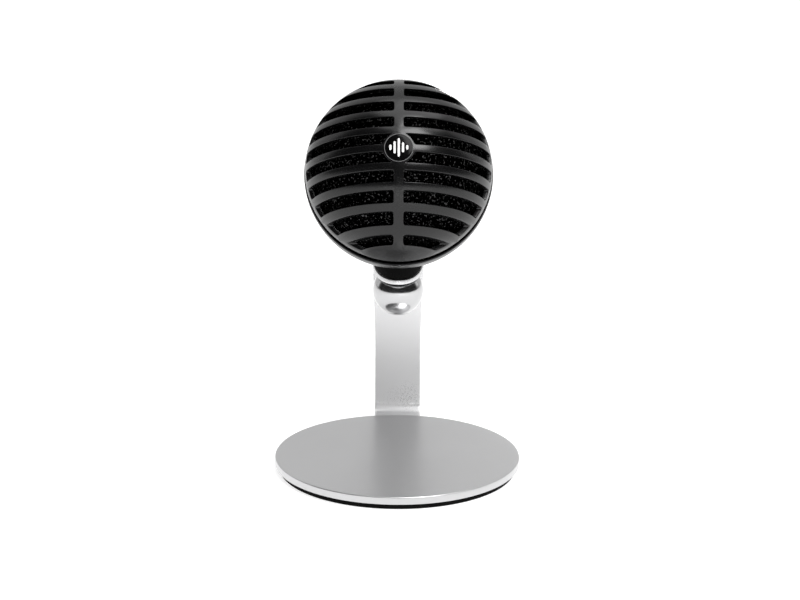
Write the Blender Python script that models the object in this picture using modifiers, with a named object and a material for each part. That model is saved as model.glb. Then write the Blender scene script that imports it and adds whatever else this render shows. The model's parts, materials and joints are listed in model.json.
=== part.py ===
"""Desktop microphone: a ball-shaped microphone on a disc stand with a bent strip arm.

The stand stands on z = 0 with the disc centred on the Z axis, and the microphone faces -Y.
The microphone's own parts are laid out in a tilted frame at the ball's centre: x to the
right, y up its face and z out of its front. The thumbscrew's parts are laid out in a
second frame at the same centre, with z out along the stud.
"""

import math

import bmesh
import bpy
from mathutils import Matrix, Vector

MM = 0.001
GAP = 0.3 * MM

# Ball
BALL_R = 33.6 * MM
BALL_CENTRE = Vector((0.0, 3.6, 109.4)) * MM
FACE_ELEVATION = math.radians(30.0)
SHELL_WALL = 2.0 * MM
SHELL_FRONT = 1.0 * MM
SHELL_REAR = -28.6 * MM
RING_FRONT = 4.3 * MM

# Grille
GRILLE_EDGE = 4.6 * MM
GRILLE_WALL = 1.6 * MM
SLAT_PITCH = 6.5 * MM
SLAT_HEIGHT = 2.6 * MM
SLATS_EACH_WAY = 4
OUTER_SLOT_TOP = 29.9 * MM
SLOT_END = 7.6 * MM
RIB_WIDTH = 3.4 * MM
BADGE_BOSS_R = 5.8 * MM
BADGE_SEAT_R = 5.45 * MM
BADGE_RIM = 33.2 * MM
BADGE_FLOOR = 32.5 * MM
BADGE_BACK = BADGE_FLOOR + GAP
BADGE_FRONT = 33.4 * MM

# Inside the ball
CHASSIS_REAR = -3.5 * MM
CHASSIS_FRONT = -1.5 * MM
SCREW_CIRCLE_R = 23.0 * MM
FOAM_R = 30.6 * MM
FOAM_WALL = 3.0 * MM
BOARD_REAR = -19.2 * MM
BOARD_FRONT = -17.6 * MM

# Rear panel
PANEL_R = 15.5 * MM
LEDGE = 1.0 * MM
PANEL_FRONT = -26.6 * MM
PANEL_REAR = -28.2 * MM
DIAL_AT = Vector((0.0, 10.3, 0.0)) * MM
SOCKET_X = 8.4 * MM
SOCKET_Y = 5.0 * MM
BUTTON_X = 5.5 * MM
BUTTON_Y = -5.5 * MM
POST_X = 11.3 * MM
POST_Y = -4.2 * MM
LIGHT_X = (-3.6 * MM, 0.0, 3.6 * MM)
LIGHT_Y = -10.3 * MM

# Stand
DISC_R = 44.5 * MM
DISC_TOP = 5.0 * MM
DISC_BOTTOM = 2.2 * MM
FOOT_R = 43.0 * MM
FOOT_TOP = 1.9 * MM

# Arm: a strip that rises behind the ball, bends forward and ends in a dish under it
STRIP_THICK = 1.5 * MM
STRIP_HALF = 8.6 * MM
TONGUE_HALF = 9.5 * MM
DISH_R = 39.15 * MM
TONGUE_TIP = math.radians(-6.5)
TONGUE_NOSE = 19.0 * MM
ARM_Y = 53.6 * MM
TOP_BEND_R = 15.0 * MM
FOOT_BEND_R = 4.55 * MM
FOOT_Z = 3.05 * MM
FOOT_FRONT_Y = 20.0 * MM
ARM_SCREW_Y = (26.0 * MM, 38.0 * MM)
FLARE_LOW = 30.0 * MM
FLARE_HIGH = 62.0 * MM
PAD_R = 36.0 * MM
PAD_THICK = 4.2 * MM

# Thumbscrew
STUD_LEAN = math.radians(15.0)
TILT_UP = math.radians(8.0)
TILT_DOWN = math.radians(12.0)
STUD_R = 3.0 * MM
BUSH_R = 4.0 * MM
KNOB_R = 9.25 * MM
KNOB_CENTRE = 48.1 * MM
KNOB_FACE = 42.4 * MM

SEGMENTS = 48


def clear_scene():
    for item in list(bpy.data.objects):
        bpy.data.objects.remove(item, do_unlink=True)


def new_collection(name):
    group = bpy.data.collections.new(name)
    bpy.context.scene.collection.children.link(group)
    return group


clear_scene()
PARTS = new_collection("desktop_microphone")
CUTTERS = new_collection("cutters")


def finish(name, colour, roughness, metallic):
    material = bpy.data.materials.new(name)
    material.use_nodes = True
    shader = material.node_tree.nodes["Principled BSDF"]
    shader.inputs["Base Color"].default_value = (*colour, 1.0)
    shader.inputs["Roughness"].default_value = roughness
    shader.inputs["Metallic"].default_value = metallic
    return material


SATIN_ALUMINIUM = ((0.72, 0.72, 0.73), 0.32, 1.0)
POLISHED_METAL = ((0.62, 0.62, 0.63), 0.12, 1.0)
STEEL = ((0.45, 0.45, 0.46), 0.35, 1.0)
BRASS = ((0.72, 0.55, 0.26), 0.3, 1.0)
SATIN_BLACK = ((0.02, 0.02, 0.02), 0.4, 0.0)
GLOSS_BLACK = ((0.012, 0.012, 0.012), 0.12, 0.0)
RUBBER_BLACK = ((0.015, 0.015, 0.015), 0.8, 0.0)
FOAM_BLACK = ((0.01, 0.01, 0.01), 0.95, 0.0)
BOARD_GREEN = ((0.02, 0.12, 0.05), 0.5, 0.0)
LIGHT_WHITE = ((0.8, 0.8, 0.78), 0.3, 0.0)
GREY_PLASTIC = ((0.12, 0.12, 0.12), 0.5, 0.0)


def frame_empty(name, location, rotation_x, parent=None):
    empty = bpy.data.objects.new(name, None)
    empty.location = location
    empty.rotation_euler = (rotation_x, 0.0, 0.0)
    empty.empty_display_size = 0.01
    empty.parent = parent
    PARTS.objects.link(empty)
    return empty


def add_object(name, mesh, look, parent):
    item = bpy.data.objects.new(name, mesh)
    item.parent = parent
    if look is None:
        CUTTERS.objects.link(item)
        item.hide_render = True
        item.display_type = "WIRE"
        return item
    PARTS.objects.link(item)
    mesh.materials.append(finish(name, *look))
    mesh.shade_smooth()
    mesh.set_sharp_from_angle(angle=math.radians(32.0))
    return item


def from_bmesh(name, shape, look, parent):
    bmesh.ops.recalc_face_normals(shape, faces=shape.faces)
    mesh = bpy.data.meshes.new(name)
    shape.to_mesh(mesh)
    shape.free()
    return add_object(name, mesh, look, parent)


def turned(name, profile, look, parent, steps=SEGMENTS, at=(0.0, 0.0, 0.0)):
    """Turn a profile of (radius, z) pairs, given down its outer side, about local Z."""
    mesh = bpy.data.meshes.new(name)
    points = [(radius, 0.0, height) for radius, height in profile]
    count = len(points)
    closed = profile[0][0] > 0.0
    edges = [(i, i + 1) for i in range(count - 1)]
    if closed:
        edges.append((count - 1, 0))
    mesh.from_pydata(points, edges, [])
    item = add_object(name, mesh, look, parent)
    item.location = at
    screw = item.modifiers.new("turn", "SCREW")
    screw.axis = "Z"
    screw.steps = steps
    screw.render_steps = steps
    screw.use_merge_vertices = True
    screw.merge_threshold = 0.00001
    screw.use_smooth_shade = True
    return item


def cylinder(name, radius, low, high, look, parent, at=(0.0, 0.0), steps=24):
    """A plain round bar along local Z from low to high."""
    shape = bmesh.new()
    lift = Matrix.Translation((at[0], at[1], 0.5 * (low + high)))
    bmesh.ops.create_cone(
        shape, cap_ends=True, segments=steps, radius1=radius, radius2=radius,
        depth=high - low, matrix=lift)
    return from_bmesh(name, shape, look, parent)


def box(name, low, high, look, parent, bevel=0.0):
    """A box between two corners, with its edges rounded when bevel is given."""
    low = Vector(low)
    high = Vector(high)
    shape = bmesh.new()
    place = Matrix.Translation((low + high) / 2) @ Matrix.Diagonal((*(high - low), 1.0))
    bmesh.ops.create_cube(shape, size=1.0, matrix=place)
    item = from_bmesh(name, shape, look, parent)
    if bevel:
        rounding = item.modifiers.new("rounding", "BEVEL")
        rounding.width = bevel
        rounding.segments = 2
    return item


def stadium(name, half_length, radius, low, high, parent, along="Y", steps=12):
    """A cutter with a slot's outline: two half rounds joined by straight sides."""
    shape = bmesh.new()
    ring = []
    for end in (1, -1):
        for i in range(steps + 1):
            angle = math.pi * i / steps
            across = end * radius * math.cos(angle)
            length = end * (half_length - radius + radius * math.sin(angle))
            point = (across, length) if along == "Y" else (length, -across)
            ring.append(shape.verts.new((*point, low)))
    face = shape.faces.new(ring)
    top = bmesh.ops.extrude_face_region(shape, geom=[face])
    lifted = [part for part in top["geom"] if isinstance(part, bmesh.types.BMVert)]
    bmesh.ops.translate(shape, verts=lifted, vec=(0.0, 0.0, high - low))
    return from_bmesh(name, shape, None, parent)


def boolean(item, other, operation):
    modifier = item.modifiers.new(operation.lower(), "BOOLEAN")
    modifier.operation = operation
    modifier.solver = "EXACT"
    modifier.object = other


def cut(item, *cutters):
    for cutter in cutters:
        boolean(item, cutter, "DIFFERENCE")


def join(item, *others):
    for other in others:
        boolean(item, other, "UNION")


def sphere_arc(radius, z_from, z_to, count):
    """Points (radius, z) along a sphere's outline about the origin."""
    start = math.asin(max(-1.0, min(1.0, z_from / radius)))
    stop = math.asin(max(-1.0, min(1.0, z_to / radius)))
    angles = [start + (stop - start) * i / count for i in range(count + 1)]
    return [(radius * math.cos(a), radius * math.sin(a)) for a in angles]


# ---------------------------------------------------------------- microphone shell


def make_rear_shell(frame, stud_frame):
    outer = sphere_arc(BALL_R, SHELL_FRONT, SHELL_REAR, 12)
    inner = sphere_arc(BALL_R - SHELL_WALL, -24.8 * MM, SHELL_FRONT, 6)
    opening = [
        (PANEL_R + GAP, SHELL_REAR),
        (PANEL_R + GAP, PANEL_FRONT + GAP),
        (PANEL_R - LEDGE, PANEL_FRONT + GAP),
        (PANEL_R - LEDGE, -24.8 * MM),
    ]
    shell = turned("rear_shell", outer + opening + inner, SATIN_BLACK, frame)
    for i, angle in enumerate((90.0, 210.0, 330.0)):
        x = SCREW_CIRCLE_R * math.cos(math.radians(angle))
        y = SCREW_CIRCLE_R * math.sin(math.radians(angle))
        top = CHASSIS_REAR - GAP
        post = cylinder(f"post_{i}", 2.4 * MM, -21.0 * MM, top, None, frame, (x, y), 12)
        pilot = cylinder(f"pilot_{i}", 1.55 * MM, -14.0 * MM, 0.0, None, frame, (x, y), 12)
        join(shell, post)
        cut(shell, pilot)
    boss = cylinder("insert_boss", 7.5 * MM, 24.2 * MM, 32.6 * MM, None, stud_frame, steps=32)
    bore = cylinder("insert_bore", 5.3 * MM, 20.0 * MM, 36.0 * MM, None, stud_frame, steps=32)
    join(shell, boss)
    cut(shell, bore)
    return shell


def make_trim_ring(frame):
    profile = [
        (33.1 * MM, RING_FRONT),
        (33.2 * MM, SHELL_FRONT + GAP),
        (31.0 * MM, SHELL_FRONT + GAP),
        (31.0 * MM, RING_FRONT),
    ]
    turned("trim_ring", profile, GLOSS_BLACK, frame)


def side_on_sphere(name, radius, look, frame):
    """A sphere whose poles lie along local Y, so that level slots cut it cleanly."""
    shape = bmesh.new()
    turn = Matrix.Rotation(math.radians(90.0), 4, "X")
    bmesh.ops.create_uvsphere(shape, u_segments=48, v_segments=24, radius=radius, matrix=turn)
    return from_bmesh(name, shape, look, frame)


def slot_bands():
    """The slots' low and high edges along local Y, from the top one down."""
    bands = []
    for k in range(SLATS_EACH_WAY):
        bands.append((k * SLAT_PITCH + SLAT_HEIGHT / 2, (k + 1) * SLAT_PITCH - SLAT_HEIGHT / 2))
    bands.append((SLATS_EACH_WAY * SLAT_PITCH + SLAT_HEIGHT / 2, OUTER_SLOT_TOP))
    return bands + [(-high, -low) for low, high in bands]


def make_grille(frame):
    grille = side_on_sphere("front_grille", BALL_R, SATIN_BLACK, frame)
    hollow = side_on_sphere("grille_hollow", BALL_R - GRILLE_WALL, None, frame)
    reach = 40.0 * MM
    behind = box("grille_behind", (-reach, -reach, -reach), (reach, reach, GRILLE_EDGE), None, frame)
    cut(grille, hollow, behind)
    for i, (low, high) in enumerate(slot_bands()):
        for side in (1, -1):
            ends = sorted((side * RIB_WIDTH / 2, side * reach))
            corner = (ends[0], low, SLOT_END)
            cut(grille, box(f"slot_{i}_{side}", corner, (ends[1], high, reach), None, frame))
    boss_back = BALL_R - GRILLE_WALL + 0.1 * MM
    join(grille, cylinder("badge_boss", BADGE_BOSS_R, boss_back, BADGE_RIM, None, frame, steps=32))
    cut(grille, cylinder("badge_seat", BADGE_SEAT_R, BADGE_FLOOR, 35.0 * MM, None, frame, steps=32))


def make_badge(frame):
    outer = BADGE_SEAT_R - GAP
    inner = outer - 0.4 * MM
    ring = [
        (outer, BADGE_FRONT - 0.1 * MM),
        (outer, BADGE_BACK),
        (inner, BADGE_BACK),
        (inner, BADGE_FRONT - 0.1 * MM),
    ]
    turned("badge_ring", ring, STEEL, frame, steps=32)
    disc = [
        (0.0, BADGE_FRONT),
        (3.2 * MM, BADGE_FRONT - 0.07 * MM),
        (inner - GAP, BADGE_FRONT - 0.25 * MM),
        (inner - GAP, BADGE_BACK),
        (0.0, BADGE_BACK),
    ]
    turned("badge_disc", disc, GLOSS_BLACK, frame, steps=32)


# ---------------------------------------------------------------- inside the ball


def make_foam(frame):
    base = CHASSIS_FRONT + GAP
    outer = sphere_arc(FOAM_R, FOAM_R, base, 9)
    inner = sphere_arc(FOAM_R - FOAM_WALL, base, FOAM_R - FOAM_WALL, 5)
    outer[0] = (0.0, FOAM_R)
    inner[-1] = (0.0, FOAM_R - FOAM_WALL)
    turned("foam_windscreen", outer + inner, FOAM_BLACK, frame, steps=36)


def make_chassis(frame):
    profile = [
        (31.0 * MM, CHASSIS_FRONT),
        (31.0 * MM, CHASSIS_REAR),
        (6.0 * MM, CHASSIS_REAR),
        (6.0 * MM, CHASSIS_FRONT),
    ]
    chassis = turned("chassis", profile, GREY_PLASTIC, frame)
    for i, angle in enumerate((90.0, 210.0, 330.0)):
        x = SCREW_CIRCLE_R * math.cos(math.radians(angle))
        y = SCREW_CIRCLE_R * math.sin(math.radians(angle))
        cut(chassis, cylinder(f"chassis_hole_{i}", 1.6 * MM, -5.0 * MM, 0.0, None, frame, (x, y), 16))
        screw = [
            (0.0, 0.3 * MM),
            (2.4 * MM, 0.1 * MM),
            (2.4 * MM, CHASSIS_FRONT + GAP),
            (1.25 * MM, CHASSIS_FRONT + GAP),
            (1.25 * MM, -12.0 * MM),
            (0.0, -12.6 * MM),
        ]
        turned(f"chassis_screw_{i + 1}", screw, STEEL, frame, steps=16, at=(x, y, 0.0))


def make_capsule(frame):
    holder = [
        (18.0 * MM, 9.0 * MM),
        (18.0 * MM, 0.8 * MM),
        (20.5 * MM, 0.8 * MM),
        (20.5 * MM, CHASSIS_FRONT + GAP),
        (8.0 * MM, CHASSIS_FRONT + GAP),
        (8.0 * MM, 0.2 * MM),
        (16.3 * MM, 0.2 * MM),
        (16.3 * MM, 9.0 * MM),
    ]
    turned("capsule_holder", holder, GREY_PLASTIC, frame, steps=24)
    mount = [
        (16.0 * MM, 8.2 * MM),
        (16.0 * MM, 0.5 * MM),
        (9.0 * MM, 0.5 * MM),
        (9.0 * MM, 1.7 * MM),
        (13.3 * MM, 1.7 * MM),
        (13.3 * MM, 8.2 * MM),
    ]
    turned("shock_ring", mount, RUBBER_BLACK, frame, steps=24)
    housing = [
        (13.0 * MM, 10.4 * MM),
        (13.0 * MM, 2.0 * MM),
        (1.6 * MM, 2.0 * MM),
        (1.6 * MM, 3.0 * MM),
        (12.0 * MM, 3.0 * MM),
        (12.0 * MM, 10.4 * MM),
    ]
    turned("capsule_housing", housing, BRASS, frame, steps=24)
    cylinder("capsule_backplate", 11.5 * MM, 5.4 * MM, 6.9 * MM, BRASS, frame)
    cylinder("capsule_diaphragm", 11.6 * MM, 7.2 * MM, 7.5 * MM, BRASS, frame)
    grid = cylinder("capsule_grid", 11.6 * MM, 8.8 * MM, 9.6 * MM, STEEL, frame)
    for i in range(6):
        angle = math.radians(60.0 * i)
        at = (6.5 * MM * math.cos(angle), 6.5 * MM * math.sin(angle))
        cut(grid, cylinder(f"grid_hole_{i}", 1.6 * MM, 8.0 * MM, 10.5 * MM, None, frame, at, 12))


def make_board(frame):
    corner = (15 * MM, 15 * MM, BOARD_FRONT)
    box("main_board", (-15 * MM, -12 * MM, BOARD_REAR), corner, BOARD_GREEN, frame)
    board = PARTS.objects["main_board"]
    chip_low = BOARD_FRONT + GAP
    corner = (4 * MM, 7 * MM, chip_low + 1.4 * MM)
    box("codec_chip", (-4 * MM, -1 * MM, chip_low), corner, GLOSS_BLACK, frame)
    for i, side in enumerate((-1, 1)):
        at = (side * POST_X, POST_Y)
        cut(board, cylinder(f"board_hole_{i}", 1.4 * MM, -22.0 * MM, -15.0 * MM, None, frame, at, 12))
        screw = [
            (0.0, -15.9 * MM),
            (1.9 * MM, -16.1 * MM),
            (1.9 * MM, BOARD_FRONT + GAP),
            (1.0 * MM, BOARD_FRONT + GAP),
            (1.0 * MM, -24.0 * MM),
            (0.0, -24.4 * MM),
        ]
        turned(f"board_screw_{i + 1}", screw, STEEL, frame, steps=12, at=(*at, 0.0))


# ---------------------------------------------------------------- rear panel


def make_rear_panel(frame):
    profile = [
        (0.0, PANEL_FRONT),
        (PANEL_R, PANEL_FRONT),
        (PANEL_R, PANEL_REAR),
        (0.0, PANEL_REAR),
    ]
    panel = turned("rear_panel", profile, SATIN_BLACK, frame)
    for i, side in enumerate((-1, 1)):
        at = (side * POST_X, POST_Y)
        root = PANEL_FRONT - 0.8 * MM
        post = cylinder(f"panel_post_{i}", 2.0 * MM, root, BOARD_REAR - GAP, None, frame, at, 16)
        pilot = cylinder(f"post_pilot_{i}", 1.3 * MM, -24.8 * MM, -18.0 * MM, None, frame, at, 12)
        join(panel, post)
        cut(panel, pilot)
    low = PANEL_REAR - 1.0 * MM
    high = PANEL_FRONT + 1.0 * MM
    usb_hole = stadium("usb_hole", 4.9 * MM, 2.0 * MM, low, high, frame, along="X")
    usb_hole.location = (-SOCKET_X, SOCKET_Y, 0.0)
    cut(panel, usb_hole)
    cut(panel, cylinder("jack_hole", 3.6 * MM, low, high, None, frame, (SOCKET_X, SOCKET_Y)))
    cut(panel, cylinder("dial_hole", 1.7 * MM, low, high, None, frame, (DIAL_AT.x, DIAL_AT.y), 16))
    for side in (-1, 1):
        at = (side * BUTTON_X, BUTTON_Y)
        cut(panel, cylinder(f"button_hole_{side}", 2.9 * MM, low, high, None, frame, at))
    for i, x in enumerate(LIGHT_X):
        cut(panel, cylinder(f"light_hole_{i}", 1.1 * MM, low, high, None, frame, (x, LIGHT_Y), 16))


def make_sockets(frame):
    rear = PANEL_REAR
    front = BOARD_REAR - GAP
    usb = stadium_solid("usb_socket", 4.6 * MM, 1.7 * MM, rear, front, STEEL, frame)
    usb.location = (-SOCKET_X, SOCKET_Y, 0.0)
    mouth = stadium("usb_mouth", 4.2 * MM, 1.3 * MM, rear - 1.0 * MM, front - 1.5 * MM, frame, along="X")
    mouth.location = usb.location
    cut(usb, mouth)
    profile = [
        (3.3 * MM, front),
        (3.3 * MM, rear),
        (1.8 * MM, rear),
        (1.8 * MM, front),
    ]
    turned("headphone_socket", profile, GLOSS_BLACK, frame, steps=24, at=(SOCKET_X, SOCKET_Y, 0.0))


def stadium_solid(name, half_length, radius, low, high, look, parent):
    """The same outline as a slot cutter, as a part of its own."""
    cutter = stadium(name, half_length, radius, low, high, parent, along="X")
    mesh = cutter.data
    bpy.data.objects.remove(cutter)
    return add_object(name, mesh, look, parent)


def make_dial(frame):
    pivot = frame_empty("dial_axis", DIAL_AT, 0.0, frame)
    corner = (4.5 * MM, 14.3 * MM, BOARD_REAR - GAP)
    box("volume_pot", (-4.5 * MM, 6.3 * MM, -23.4 * MM), corner, GREY_PLASTIC, frame)
    pot = PARTS.objects["volume_pot"]
    at = (DIAL_AT.x, DIAL_AT.y)
    cut(pot, cylinder("pot_bore", 1.6 * MM, -24.0 * MM, -20.6 * MM, None, frame, at, 16))
    cylinder("dial_shaft", 1.3 * MM, -29.4 * MM, -21.0 * MM, STEEL, pivot, steps=16)
    profile = [
        (0.0, -29.7 * MM),
        (1.6 * MM, -29.7 * MM),
        (1.6 * MM, -28.5 * MM),
        (4.0 * MM, -28.5 * MM),
        (4.0 * MM, -30.0 * MM),
        (3.6 * MM, -30.4 * MM),
        (0.0, -30.4 * MM),
    ]
    turned("volume_dial", profile, SATIN_BLACK, pivot, steps=32)


def make_buttons(frame):
    names = ("mode", "mute")
    for name, side in zip(names, (-1, 1)):
        x = side * BUTTON_X
        low = (x - 2.5 * MM, BUTTON_Y - 2.5 * MM, -22.4 * MM)
        high = (x + 2.5 * MM, BUTTON_Y + 2.5 * MM, BOARD_REAR - GAP)
        box(f"{name}_switch", low, high, STEEL, frame)
        cap = [
            (0.0, -23.3 * MM),
            (1.5 * MM, -23.3 * MM),
            (1.5 * MM, -25.5 * MM),
            (3.4 * MM, -25.5 * MM),
            (3.4 * MM, -26.3 * MM),
            (2.6 * MM, -26.3 * MM),
            (2.6 * MM, -28.5 * MM),
            (2.3 * MM, -28.8 * MM),
            (0.0, -28.8 * MM),
        ]
        turned(f"{name}_button", cap, GLOSS_BLACK, frame, steps=24, at=(x, BUTTON_Y, 0.0))
    for i, x in enumerate(LIGHT_X):
        pipe = cylinder(f"light_pipe_{i + 1}", 0.8 * MM, PANEL_REAR, BOARD_REAR - GAP, LIGHT_WHITE, frame,
                        (x, LIGHT_Y), 12)
        pipe.data.set_sharp_from_angle(angle=math.radians(30.0))


# ---------------------------------------------------------------- stand


def make_base(frame):
    profile = [
        (0.0, DISC_TOP),
        (DISC_R - 0.45 * MM, DISC_TOP),
        (DISC_R - 0.15 * MM, DISC_TOP - 0.12 * MM),
        (DISC_R, DISC_TOP - 0.4 * MM),
        (DISC_R, DISC_BOTTOM + 0.2 * MM),
        (DISC_R - 0.2 * MM, DISC_BOTTOM),
        (0.0, DISC_BOTTOM),
    ]
    disc = turned("base_disc", profile, SATIN_ALUMINIUM, frame, steps=72)
    side = STRIP_HALF + GAP
    pocket = box(
        "arm_pocket", (-side, FOOT_FRONT_Y - GAP, 1.0 * MM),
        (side, 50.0 * MM, FOOT_Z + STRIP_THICK / 2 + 0.25 * MM), None, frame)
    cut(disc, pocket)
    for i, y in enumerate(ARM_SCREW_Y):
        cut(disc, cylinder(f"disc_hole_{i}", 1.7 * MM, 3.0 * MM, 4.7 * MM, None, frame, (0.0, y), 16))
    foot = [
        (0.0, FOOT_TOP),
        (FOOT_R, FOOT_TOP),
        (FOOT_R, 0.3 * MM),
        (FOOT_R - 0.3 * MM, 0.0),
        (0.0, 0.0),
    ]
    turned("base_foot", foot, RUBBER_BLACK, frame, steps=64)


def smooth_step(value, low, high):
    t = max(0.0, min(1.0, (value - low) / (high - low)))
    return t * t * (3.0 - 2.0 * t)


def dish_station(angle, radius):
    """A point under the ball and the direction out of the ball there, in the YZ plane."""
    outward = Vector((0.0, math.sin(angle), -math.cos(angle)))
    return BALL_CENTRE + radius * outward, outward


def nose_stations(radius, tip, count=14):
    """The tongue's rounded nose: (point, outward, half width, cross curvature)."""
    rows = []
    for i in range(1, count + 1):
        t = 0.5 * math.pi * i / count
        angle = tip + TONGUE_NOSE * (1.0 - math.cos(t)) / DISH_R
        point, outward = dish_station(angle, radius)
        rows.append((point, outward, TONGUE_HALF * math.sin(t) * radius / DISH_R, 1.0 / radius))
    return rows


def arm_stations():
    """The strip's centre line, from the nose to the foot under the disc."""
    bend_y = ARM_Y - TOP_BEND_R
    across = bend_y - BALL_CENTRE.y
    reach = DISH_R + TOP_BEND_R
    drop = math.sqrt(reach * reach - across * across)
    bend_z = BALL_CENTRE.z - drop
    meet = math.atan2(across, drop)
    nose_end = TONGUE_TIP + TONGUE_NOSE / DISH_R
    rows = nose_stations(DISH_R, TONGUE_TIP)
    for i in range(1, 6):
        point, outward = dish_station(nose_end + (meet - nose_end) * i / 5, DISH_R)
        rows.append((point, outward, TONGUE_HALF, 1.0 / DISH_R))
    start = 0.5 * math.pi + meet
    for i in range(1, 13):
        angle = start * (1.0 - i / 12)
        away = Vector((0.0, math.cos(angle), math.sin(angle)))
        point = Vector((0.0, bend_y, bend_z)) + TOP_BEND_R * away
        curvature = (1.0 - smooth_step(i / 12, 0.0, 0.7)) / DISH_R
        rows.append((point, -away, TONGUE_HALF, curvature))
    foot_bend_z = FOOT_Z + FOOT_BEND_R
    for i in range(1, 13):
        z = bend_z + (foot_bend_z - bend_z) * i / 12
        width = STRIP_HALF + (TONGUE_HALF - STRIP_HALF) * smooth_step(z, FLARE_LOW, FLARE_HIGH)
        rows.append((Vector((0.0, ARM_Y, z)), Vector((0.0, -1.0, 0.0)), width, 0.0))
    for i in range(1, 8):
        angle = -0.5 * math.pi * i / 7
        away = Vector((0.0, math.cos(angle), math.sin(angle)))
        point = Vector((0.0, ARM_Y - FOOT_BEND_R, foot_bend_z)) + FOOT_BEND_R * away
        rows.append((point, -away, STRIP_HALF, 0.0))
    rows.append((Vector((0.0, FOOT_FRONT_Y, FOOT_Z)), Vector((0.0, 0.0, 1.0)), STRIP_HALF, 0.0))
    return rows


def bent_strip(name, rows, thickness, look, parent, columns=8):
    """Loft a strip through stations and thicken it evenly about its middle."""
    shape = bmesh.new()
    grid = []
    for point, outward, half, curvature in rows:
        line = []
        for j in range(columns + 1):
            across = half * (2.0 * j / columns - 1.0)
            if curvature > 1e-3:
                side = math.sin(across * curvature) / curvature
                sag = (1.0 - math.cos(across * curvature)) / curvature
            else:
                side = across
                sag = 0.0
            line.append(shape.verts.new(point + Vector((side, 0.0, 0.0)) - sag * outward))
        grid.append(line)
    for upper, lower in zip(grid, grid[1:]):
        for j in range(columns):
            shape.faces.new((upper[j], upper[j + 1], lower[j + 1], lower[j]))
    item = from_bmesh(name, shape, look, parent)
    solid = item.modifiers.new("thickness", "SOLIDIFY")
    solid.thickness = thickness
    solid.offset = 0.0
    solid.use_even_offset = True
    return item


def slot_cutter(name, half_width):
    """The curved slot that the stud slides in as the ball tilts."""
    middle = STUD_LEAN + (TILT_DOWN - TILT_UP) / 2
    sweep = (TILT_DOWN + TILT_UP) / 2
    half_length = sweep * DISH_R + half_width + 0.8 * MM
    frame = frame_empty(f"{name}_frame", BALL_CENTRE, math.pi + middle)
    return stadium(name, half_length, half_width, 30.0 * MM, 44.0 * MM, frame)


def make_arm(frame):
    arm = bent_strip("arm", arm_stations(), STRIP_THICK, SATIN_ALUMINIUM, frame)
    cut(arm, slot_cutter("arm_slot", BUSH_R + GAP))
    low = FOOT_Z - STRIP_THICK / 2
    for i, y in enumerate(ARM_SCREW_Y):
        cut(arm, cylinder(f"foot_hole_{i}", 1.7 * MM, 1.0 * MM, 6.0 * MM, None, frame, (0.0, y), 16))
        cut(arm, cylinder(f"foot_sink_{i}", 3.1 * MM, 1.0 * MM, low + 1.15 * MM, None, frame, (0.0, y), 16))
        screw = [
            (0.0, 4.5 * MM),
            (1.4 * MM, 4.4 * MM),
            (1.4 * MM, low + 0.85 * MM),
            (2.8 * MM, low + 0.85 * MM),
            (2.8 * MM, low),
            (0.0, low),
        ]
        turned(f"arm_screw_{i + 1}", screw, STEEL, frame, steps=16, at=(0.0, y, 0.0))


def make_cradle_pad(frame):
    tip = TONGUE_TIP + math.radians(0.6)
    rows = nose_stations(PAD_R, tip)
    nose_end = tip + TONGUE_NOSE / DISH_R
    rear = math.radians(39.0)
    for i in range(1, 6):
        point, outward = dish_station(nose_end + (rear - nose_end) * i / 5, PAD_R)
        rows.append((point, outward, TONGUE_HALF * PAD_R / DISH_R, 1.0 / PAD_R))
    pad = bent_strip("cradle_pad", rows, PAD_THICK, RUBBER_BLACK, frame)
    cut(pad, slot_cutter("pad_slot", BUSH_R + GAP))


# ---------------------------------------------------------------- thumbscrew


def make_thumbscrew(stud_frame):
    insert = [
        (5.0 * MM, 33.2 * MM),
        (5.0 * MM, 24.6 * MM),
        (STUD_R + 0.25 * MM, 24.6 * MM),
        (STUD_R + 0.25 * MM, 33.2 * MM),
    ]
    turned("threaded_insert", insert, BRASS, stud_frame, steps=24)
    bush = [
        (7.0 * MM, 41.0 * MM),
        (7.0 * MM, 40.2 * MM),
        (BUSH_R, 40.2 * MM),
        (BUSH_R, 34.6 * MM),
        (STUD_R + GAP, 34.6 * MM),
        (STUD_R + GAP, 41.0 * MM),
    ]
    turned("slot_bush", bush, GREY_PLASTIC, stud_frame, steps=24)
    washer = [
        (6.6 * MM, 42.1 * MM),
        (6.6 * MM, 41.3 * MM),
        (STUD_R + GAP, 41.3 * MM),
        (STUD_R + GAP, 42.1 * MM),
    ]
    turned("clamp_washer", washer, STEEL, stud_frame, steps=32)
    stud = [
        (0.0, 46.8 * MM),
        (STUD_R, 46.8 * MM),
        (STUD_R, 26.8 * MM),
        (STUD_R - 0.6 * MM, 26.2 * MM),
        (0.0, 26.2 * MM),
    ]
    turned("thumbscrew_stud", stud, STEEL, stud_frame, steps=24)
    face = KNOB_FACE - KNOB_CENTRE
    ball = sphere_arc(KNOB_R, KNOB_R, face, 12)
    profile = [(0.0, KNOB_CENTRE + KNOB_R)]
    profile += [(radius, KNOB_CENTRE + z) for radius, z in ball[1:]]
    profile += [
        (STUD_R + GAP, KNOB_FACE),
        (STUD_R + GAP, 47.2 * MM),
        (0.0, 47.2 * MM),
    ]
    turned("thumbscrew_knob", profile, POLISHED_METAL, stud_frame, steps=32)


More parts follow.
